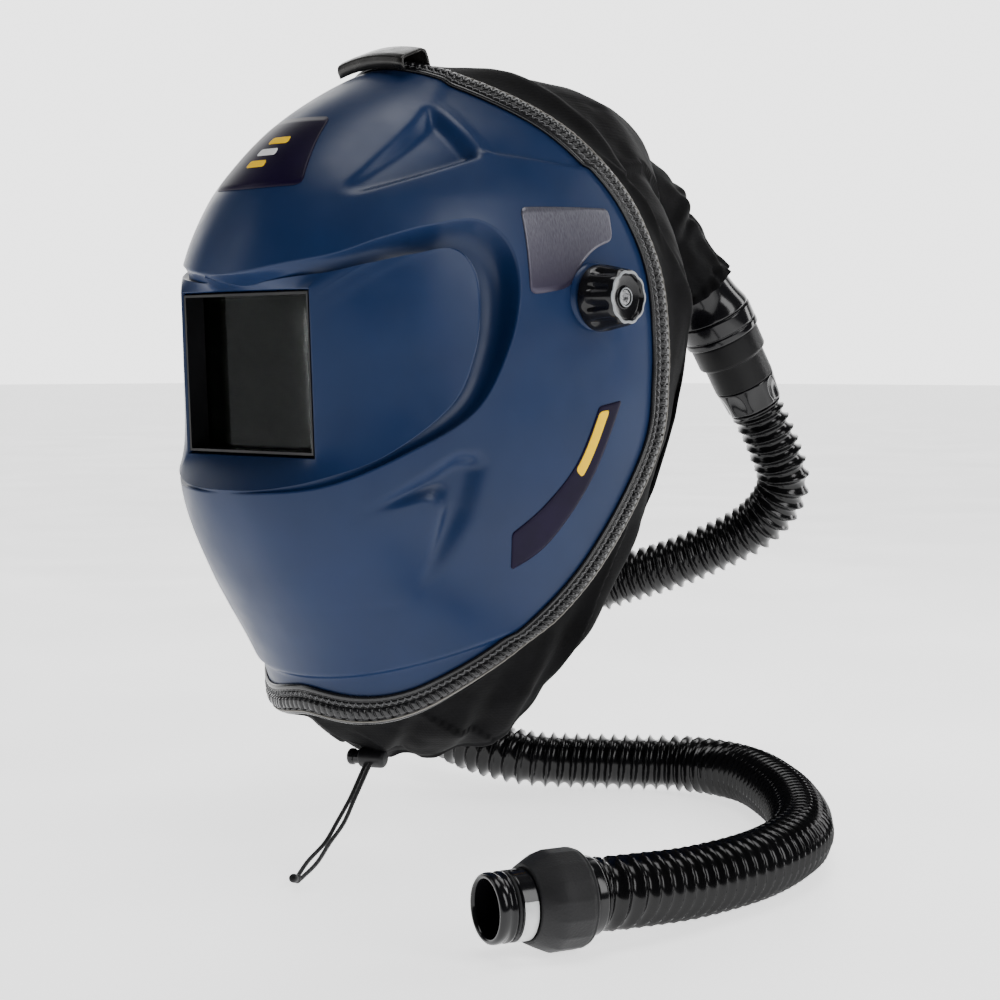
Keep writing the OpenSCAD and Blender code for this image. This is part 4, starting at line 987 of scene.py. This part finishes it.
def make_sleeve(material):
    line = even_line(smooth_line(SLEEVE, 10), 110)
    sides = 120
    angle = np.arange(sides) * FULL_TURN / sides
    share = np.linspace(0, 1, len(line))[:, None]
    drift = 0.9 * np.sin(share * 6.0) + 0.5 * np.sin(share * 13.0)
    pleat = np.cos(angle * 11 + drift) * 0.9 + np.cos(angle * 17 - 2 * drift + 1.0) * 0.5
    radius = line[:, 3:4] + pleat * line[:, 4:5] * 1.1
    bulge = 4.2 * np.exp(-((share - 0.47) / 0.055) ** 2) * ramp(np.cos(angle - 0.5) * 1.2)
    tuck = -3.0 * np.exp(-((share - 0.56) / 0.035) ** 2) * ramp(np.cos(angle - 0.5) * 1.2)
    second = 2.0 * np.exp(-((share - 0.70 - 0.04 * np.cos(angle)) / 0.04) ** 2) * ramp(np.cos(angle + 1.2))
    rings = sweep(line[:, :3], radius + bulge + tuck + second, sides)
    rings = rings + value_noise(rings, 14.0, 9)[..., None] * 0.8
    inside = rings - outward(rings, line[:, None, :3], True) * SLEEVE_CLOTH
    points, faces = shell_between(rings, inside, True)
    sleeve = make_piece("air_sleeve_cloth", points, faces, material, "headgear")
    stand_for(sleeve, "air_sleeve", "sleeve_elastic")


def make_elbow(looks):
    sides = 96
    outline = [(22.0, 20.5), (15.0, 20.5), (9.0, 20.7), (6.0, 21.4), (3.6, 22.6), (1.8, 23.7), (0.8, 24.2),
               (0.25, 24.3), (0.25, 18.2), (22.0, 18.0)]
    rows = np.array([[elbow_point(back, radius, a) for a in np.arange(sides) * FULL_TURN / sides]
                     for back, radius in outline])
    faces = grid_faces(len(rows), sides, True, 0, True)
    stand_for(make_piece("elbow_moulding", rows.reshape(-1, 3), faces, looks["gloss"], "headgear"),
              "inlet_elbow")
    profile = rounded([(17, 0.2), (23.9, 0.2), (24.8, 1.2), (24.8, 10.2), (24.2, 10.8), (24.2, 11.4),
                       (24.9, 12.0), (24.9, 15.2), (24.3, 16), (21, 16), (21, 14.6), (17, 14.5)], 0.5, 3)
    stand_for(lathe("elbow_ring_moulding", COUPLE, profile, looks["gloss"], "headgear", 128, None, True),
              "elbow_ring")
    profile = rounded([(17.1, 16.4), (22.6, 16.4), (23.1, 17.0), (23.0, 30.8), (22.4, 31.9), (20.6, 32.6),
                       (20.3, 33.4), (20.2, 50.2), (19.8, 51.0), (17.1, 51.0)], 0.6, 3)
    stand_for(lathe("swivel_collar_moulding", COUPLE, profile, looks["fine_texture"], "coupling_collar", 128,
                    None, True), "swivel_collar")

    def dimples(angle, z, r):
        near = np.abs((angle * 8 / FULL_TURN) % 1 - 0.5) / 0.40
        long = (z - 61.5) / 9.5
        return r - 1.5 * np.clip(1 - near ** 2 - long ** 2, 0, 1) ** 1.3 * (r > 17.2)

    rows = [(13.5, 17.2), (17.0, 17.2), (17.0, 51.1), (19.6, 51.3)]
    rows += [(20.0 - 1.7 * k / 18, 51.6 + 16.4 * k / 18) for k in range(19)] + [(17.6, 68.9), (13.5, 69.0)]
    stand_for(lathe("upper_cuff_moulding", COUPLE, rows, looks["gloss"], "headgear", 160, dimples, True),
              "upper_cuff")


# ---- breathing hose and its connector ----
HOSE = [[32.2, 259.4, -63.4], [36.5, 274, -90], [36, 286, -118], [12, 286, -146], [-32, 268, -170],
        [-80, 248, -188], [-125, 216, -208], [-148, 170, -230], [-136, 124, -254], [-94, 98, -276],
        [-42, 108, -287], [4, 142, -289], [46, 170, -289], [92, 168, -289], [138, 138, -289], [182, 96, -289],
        [220, 44, -289], [238, -14, -289], [240, -72, -288], [237, -119, -284.5], [231.1, -140, -283.5]]
HOSE_D, HOSE_PITCH, HOSE_DEPTH = 36.0, 7.8, 3.6
PLUG = turned([231, -140.3, -283.5], -19.3, 90)
SPIGOT_R, DIMPLE_R, DIMPLE_Z = 16.5, 1.8, 41.7
# The label's middle and half its arc, in degrees round the spigot.
LABEL_TURN, LABEL_HALF = 328, 50


def make_hose(looks):
    """The hose's fin runs round it as a thread, with a thin pointed crest and a round valley."""
    fine = smooth_line(HOSE, 24)
    length = open_length(fine)
    turns = round(length / HOSE_PITCH)
    rings = turns * 12 + 1
    line = even_line(fine, rings)
    sides = 30
    angle = np.arange(sides) / sides
    phase = np.linspace(0, turns, rings)[:, None] + angle
    share = np.linspace(0, length, rings)[:, None]
    ends = ramp(share / 5.0) * ramp((length - share) / 5.0)
    crest = (np.abs(phase % 1 - 0.5) * 2) ** 2.2
    radius = HOSE_D / 2 - HOSE_DEPTH * (1 - crest) * ends - 0.6 * (1 - ends)
    hose = closed_tube("corrugated_hose", sweep(line, radius, sides), looks["hose"], "headgear")
    return stand_for(hose, "breathing_hose"), (line[::6] * MM).tolist(), length * MM


def sixteen_sides(angle, z, r):
    """Flats round the grip, which fade out over its front chamfer and its back lip."""
    step = FULL_TURN / 16
    off = (angle + step / 2) % step - step / 2
    flat = math.cos(step / 2) / np.cos(off) * 1.012
    on = ramp((z - 9.5) / 1.2) * ramp((31.0 - z) / 6.0) * (r > 17)
    return r * mix(1.0, flat, on)


def make_connector(looks):
    """The hose's lower end. Returns its pieces, which go with the hose."""
    profile = rounded([(12.5, -0.2), (18.2, 0.0), (18.7, 0.8), (18.7, 5.0), (18.0, 6.9), (15.0, 7.0),
                       (15.0, 30.0), (12.5, 30.0)], 0.6, 3)
    cuff = lathe("hose_cuff_moulding", PLUG, profile, looks["gloss"], "headgear", 128, None, True)
    rows = [(15.05, 7.4), (21.4, 7.35), (22.6, 7.8), (22.9, 8.6), (22.5, 9.2), (23.4, 9.8)]
    rows += [(23.4, 9.8 + 14.0 * k / 8) for k in range(1, 9)]
    rows += [(23.1, 25.2), (22.0, 28.0), (20.6, 31.0), (19.1, 33.8), (18.7, 34.6), (18.4, 35.2),
             (16.6, 35.25), (16.6, 31.0), (15.05, 30.9)]
    grip = lathe("grip_collar_moulding", PLUG, rows, looks["textured"], "hose_plug", 192, sixteen_sides, True)

    def dimple(angle, z, r):
        gap = np.hypot((angle - FULL_TURN / 4) * SPIGOT_R, z - DIMPLE_Z)
        return r - 1.1 * ramp((DIMPLE_R - gap) / 0.7) * (r > 16)

    rows = [(13.5, 30.4), (16.4, 30.4)] + [(SPIGOT_R, 31 + 12.4 * k / 24) for k in range(25)]
    rows += [(16.3, 43.8), (15.2, 44.0), (15.1, 46.2), (16.4, 46.5), (16.5, 47.6), (15.9, 48.0), (15.7, 49.2),
             (16.0, 50.4), (16.5, 51.2), (16.5, 53.2), (16.2, 54.4), (15.4, 55.2), (14.4, 55.3), (13.6, 54.6),
             (13.5, 53.0)]
    spigot = lathe("spigot_moulding", PLUG, rows, looks["gloss"], "hose_plug", 192, dimple, True)

    def rough_ring(angle, z, r):
        return r + 0.12 * np.sin(angle * 37) * np.sin(angle * 11 + z)

    rows = [(15.5 + 0.95 * math.cos(a), 45.1 + 0.95 * math.sin(a))
            for a in np.linspace(0, FULL_TURN, 13)[:-1]]
    seal = lathe("spigot_o_ring", PLUG, rows, looks["textured"], "hose_plug", 160, rough_ring, True)
    angles = np.linspace(math.radians(LABEL_TURN - LABEL_HALF), math.radians(LABEL_TURN + LABEL_HALF), 40)
    rows = np.array([PLUG.at(np.stack([r * np.cos(angles), r * np.sin(angles), np.full(40, z)], 1))
                     for r, z in ((16.53, 36.0), (16.62, 36.1), (16.62, 43.1), (16.53, 43.2))])
    arm = rows - PLUG.origin
    out = unit(arm - np.outer(arm.reshape(-1, 3) @ PLUG.axes[2], PLUG.axes[2]).reshape(rows.shape))
    points, faces = shell_between(rows, PLUG.origin + arm - out * 0.12, False)
    label = make_piece("blank_label", points, faces, looks["white"], "hose_plug")
    pieces = [cuff, grip, spigot, seal, label]
    for piece, node in zip(pieces, ("lower_cuff", "grip_collar", "spigot", "spigot_seal", "spigot_label")):
        stand_for(piece, node)
    return pieces


# ---- drawcord ----
CORD = [[0, -56, -250], [4, -66, -258], [9, -78, -267.5], [14, -90, -277], [22, -106, -286], [31, -124, -293],
        [39, -142, -299], [45, -157, -304]]
CORD_D, CORD_GAP = 2.6, 1.7
CORD_PINCH = [1, 1, 1, 1, 1.5, 1, 2, 0.9]
LOCK_AT = [4, -66, -258]
CORD_WAY = np.array([5, -12, -9.5]) / np.linalg.norm([5, -12, -9.5])


def make_cords(looks):
    made = []
    rings, sides = 300, 12
    for name, side in (("left", 1), ("right", -1)):
        points = [np.array(p, float) + [side * CORD_GAP * w, 0, 0] for p, w in zip(CORD, CORD_PINCH)]
        fine = smooth_line(points, 24)
        length = open_length(fine)
        line = even_line(fine, rings)
        angle = np.arange(sides) * FULL_TURN / sides
        along = np.linspace(0, length, rings)[:, None]
        braid = 0.10 * np.cos(angle * 4 + along * 3.4) + 0.10 * np.cos(angle * 4 - along * 3.4)
        rows = sweep(line, CORD_D / 2 - 0.1 + braid, sides, 0.86)
        cord = closed_tube(f"drawcord_{name}_braid", rows, looks["cord"], "shield")
        stand_for(cord, f"drawcord_{name}")
        made.append((cord, (np.vstack([line[::6], line[-1:]]) * MM).tolist(), length * MM))
    return made


def flats(angle, z, r):
    """Two slightly flattened sides."""
    return r * (1 - 0.06 * np.cos(angle * 2) ** 2)


def make_lock(looks):
    """The cord lock's barrel and button, and the crimp at the cords' ends."""
    swing = math.degrees(math.atan2(CORD_WAY[0], -CORD_WAY[1]))
    place = turned(LOCK_AT, swing, -math.degrees(math.acos(-CORD_WAY[2])), 90)
    profile = rounded([(4.1, -6.2), (5.0, -6.2), (5.6, -5.4), (5.6, 6.6), (5.2, 8.2), (4.0, 9.2),
                       (0.02, 9.4)], 0.7, 4)
    barrel = lathe("cord_lock_barrel", place, profile, looks["black"], "cord_lock", 96, flats)
    profile = rounded([(3.9, -6.0), (3.9, -9.4), (4.6, -9.7), (4.75, -10.6), (4.7, -12.2), (3.9, -13.3),
                       (2.0, -13.9), (0.02, -14.0)], 0.7, 4)
    button = lathe("cord_lock_button", place, profile, looks["gloss"], "lock_button", 96)
    profile = rounded([(0.02, -0.3), (1.9, -0.2), (2.4, 0.6), (2.3, 2.0), (1.9, 3.2), (2.4, 4.4), (2.3, 6.4),
                       (1.6, 7.2), (0.02, 7.3)], 0.5, 3)
    end = turned([45.3, -157.6, -304.2], 21.8, 72)
    crimp = lathe("cord_crimp", end, profile, looks["black"], "shield", 48)
    return stand_for(barrel, "cord_lock"), stand_for(button, "lock_button"), stand_for(crimp, "cord_end")


# ---- headgear inside ----
BAND_A, BAND_B, BAND_Y, BAND_Z = 84.0, 101.0, 13.0, 14.0


def band_pad(name, node, from_deg, to_deg, thick, channels, material):
    """A stuffed pad along the inside of the head band, pinched at its sewn channels."""
    rows, cols = 90, 40
    w = np.radians(np.linspace(from_deg, to_deg, rows))[:, None]
    a = np.arange(cols)[None] * FULL_TURN / cols
    share = np.linspace(0, 1, rows)[:, None]
    pinch = 1 - 0.45 * np.exp(-(((share * channels) % 1 - 0.5) / 0.06) ** 2)
    end = np.clip(np.minimum(share, 1 - share) / 0.04, 0, 1) ** 0.5
    high = 13.6 * np.sign(np.sin(a)) * np.abs(np.sin(a)) ** 0.6 * (0.55 + 0.45 * end)
    deep = thick / 2 * np.sign(np.cos(a)) * np.abs(np.cos(a)) ** 0.7 * pinch * (0.35 + 0.65 * end)
    inward = 2.9 + thick / 2 - deep
    x = (BAND_A - inward) * np.cos(w) + 0 * a
    y = BAND_Y + (BAND_B - inward) * np.sin(w) + 0 * a
    z = BAND_Z + 15 + high + 0 * w
    pad = stand_for(closed_tube(name, np.stack([x, y, z], -1), material, "headgear"), node)


def paint_nodes(looks):
    """Materials for the CAD nodes whose own shape shows."""
    chosen = {"black": ("filter_frame", "filter_retainer", "pivot_bushes", "side_arm_left", "side_arm_right",
                        "headband", "crown_strap_front", "crown_strap_rear", "air_duct"),
              "clear_glass": ("cover_lens", "inner_lens"), "dark_glass": ("welding_filter",),
              "steel": ("retainer_pin", "pivot_bolts", "ratchet_pinion", "lock_spring"),
              "fine_texture": ("friction_washers", "ratchet_housing"),
              "textured": ("ratchet_knob", "inlet_seal")}
    for look, nodes in chosen.items():
        for node in nodes:
            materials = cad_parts[node].data.materials
            materials.clear()
            materials.append(looks[look])


def make_floor(material):
    mesh = bpy.data.meshes.new("floor")
    corners = [(-1, -1), (1, -1), (1, 1), (-1, 1)]
    mesh.from_pydata([(x * HALF_FLOOR, y * HALF_FLOOR, FLOOR_Z * MM) for x, y in corners], [], [(0, 1, 2, 3)])
    mesh.materials.append(material)
    floor = bpy.data.objects.new("floor", mesh)
    bpy.context.collection.objects.link(floor)


# ---- the whole object ----
make_camera()
looks = make_looks()

hose, hose_path, hose_length = make_hose(looks)
on_hose = make_connector(looks)
cords = make_cords(looks)
barrel, button, crimp = make_lock(looks)

make_studio()
make_floor(looks["floor"])
rings = soften(shield_rings(), len(WINDOW_F) + len(GROOVE_F) + 1)
make_shell(rings, looks["shell"])
trim_line = TrimLine(rings)
make_trim(trim_line, looks)
make_rim_clip(looks["clip"])
make_labels(looks)
make_knobs(looks)
make_hood(trim_line, looks["cloth"])
make_sleeve(looks["cloth"])
make_elbow(looks)
band_pad("brow_pad", "sweatband", 205, 335, 5.0, 9, looks["pad"])
band_pad("nape_cushion", "nape_pad", 58, 122, 6.0, 4, looks["pad"])
paint_nodes(looks)
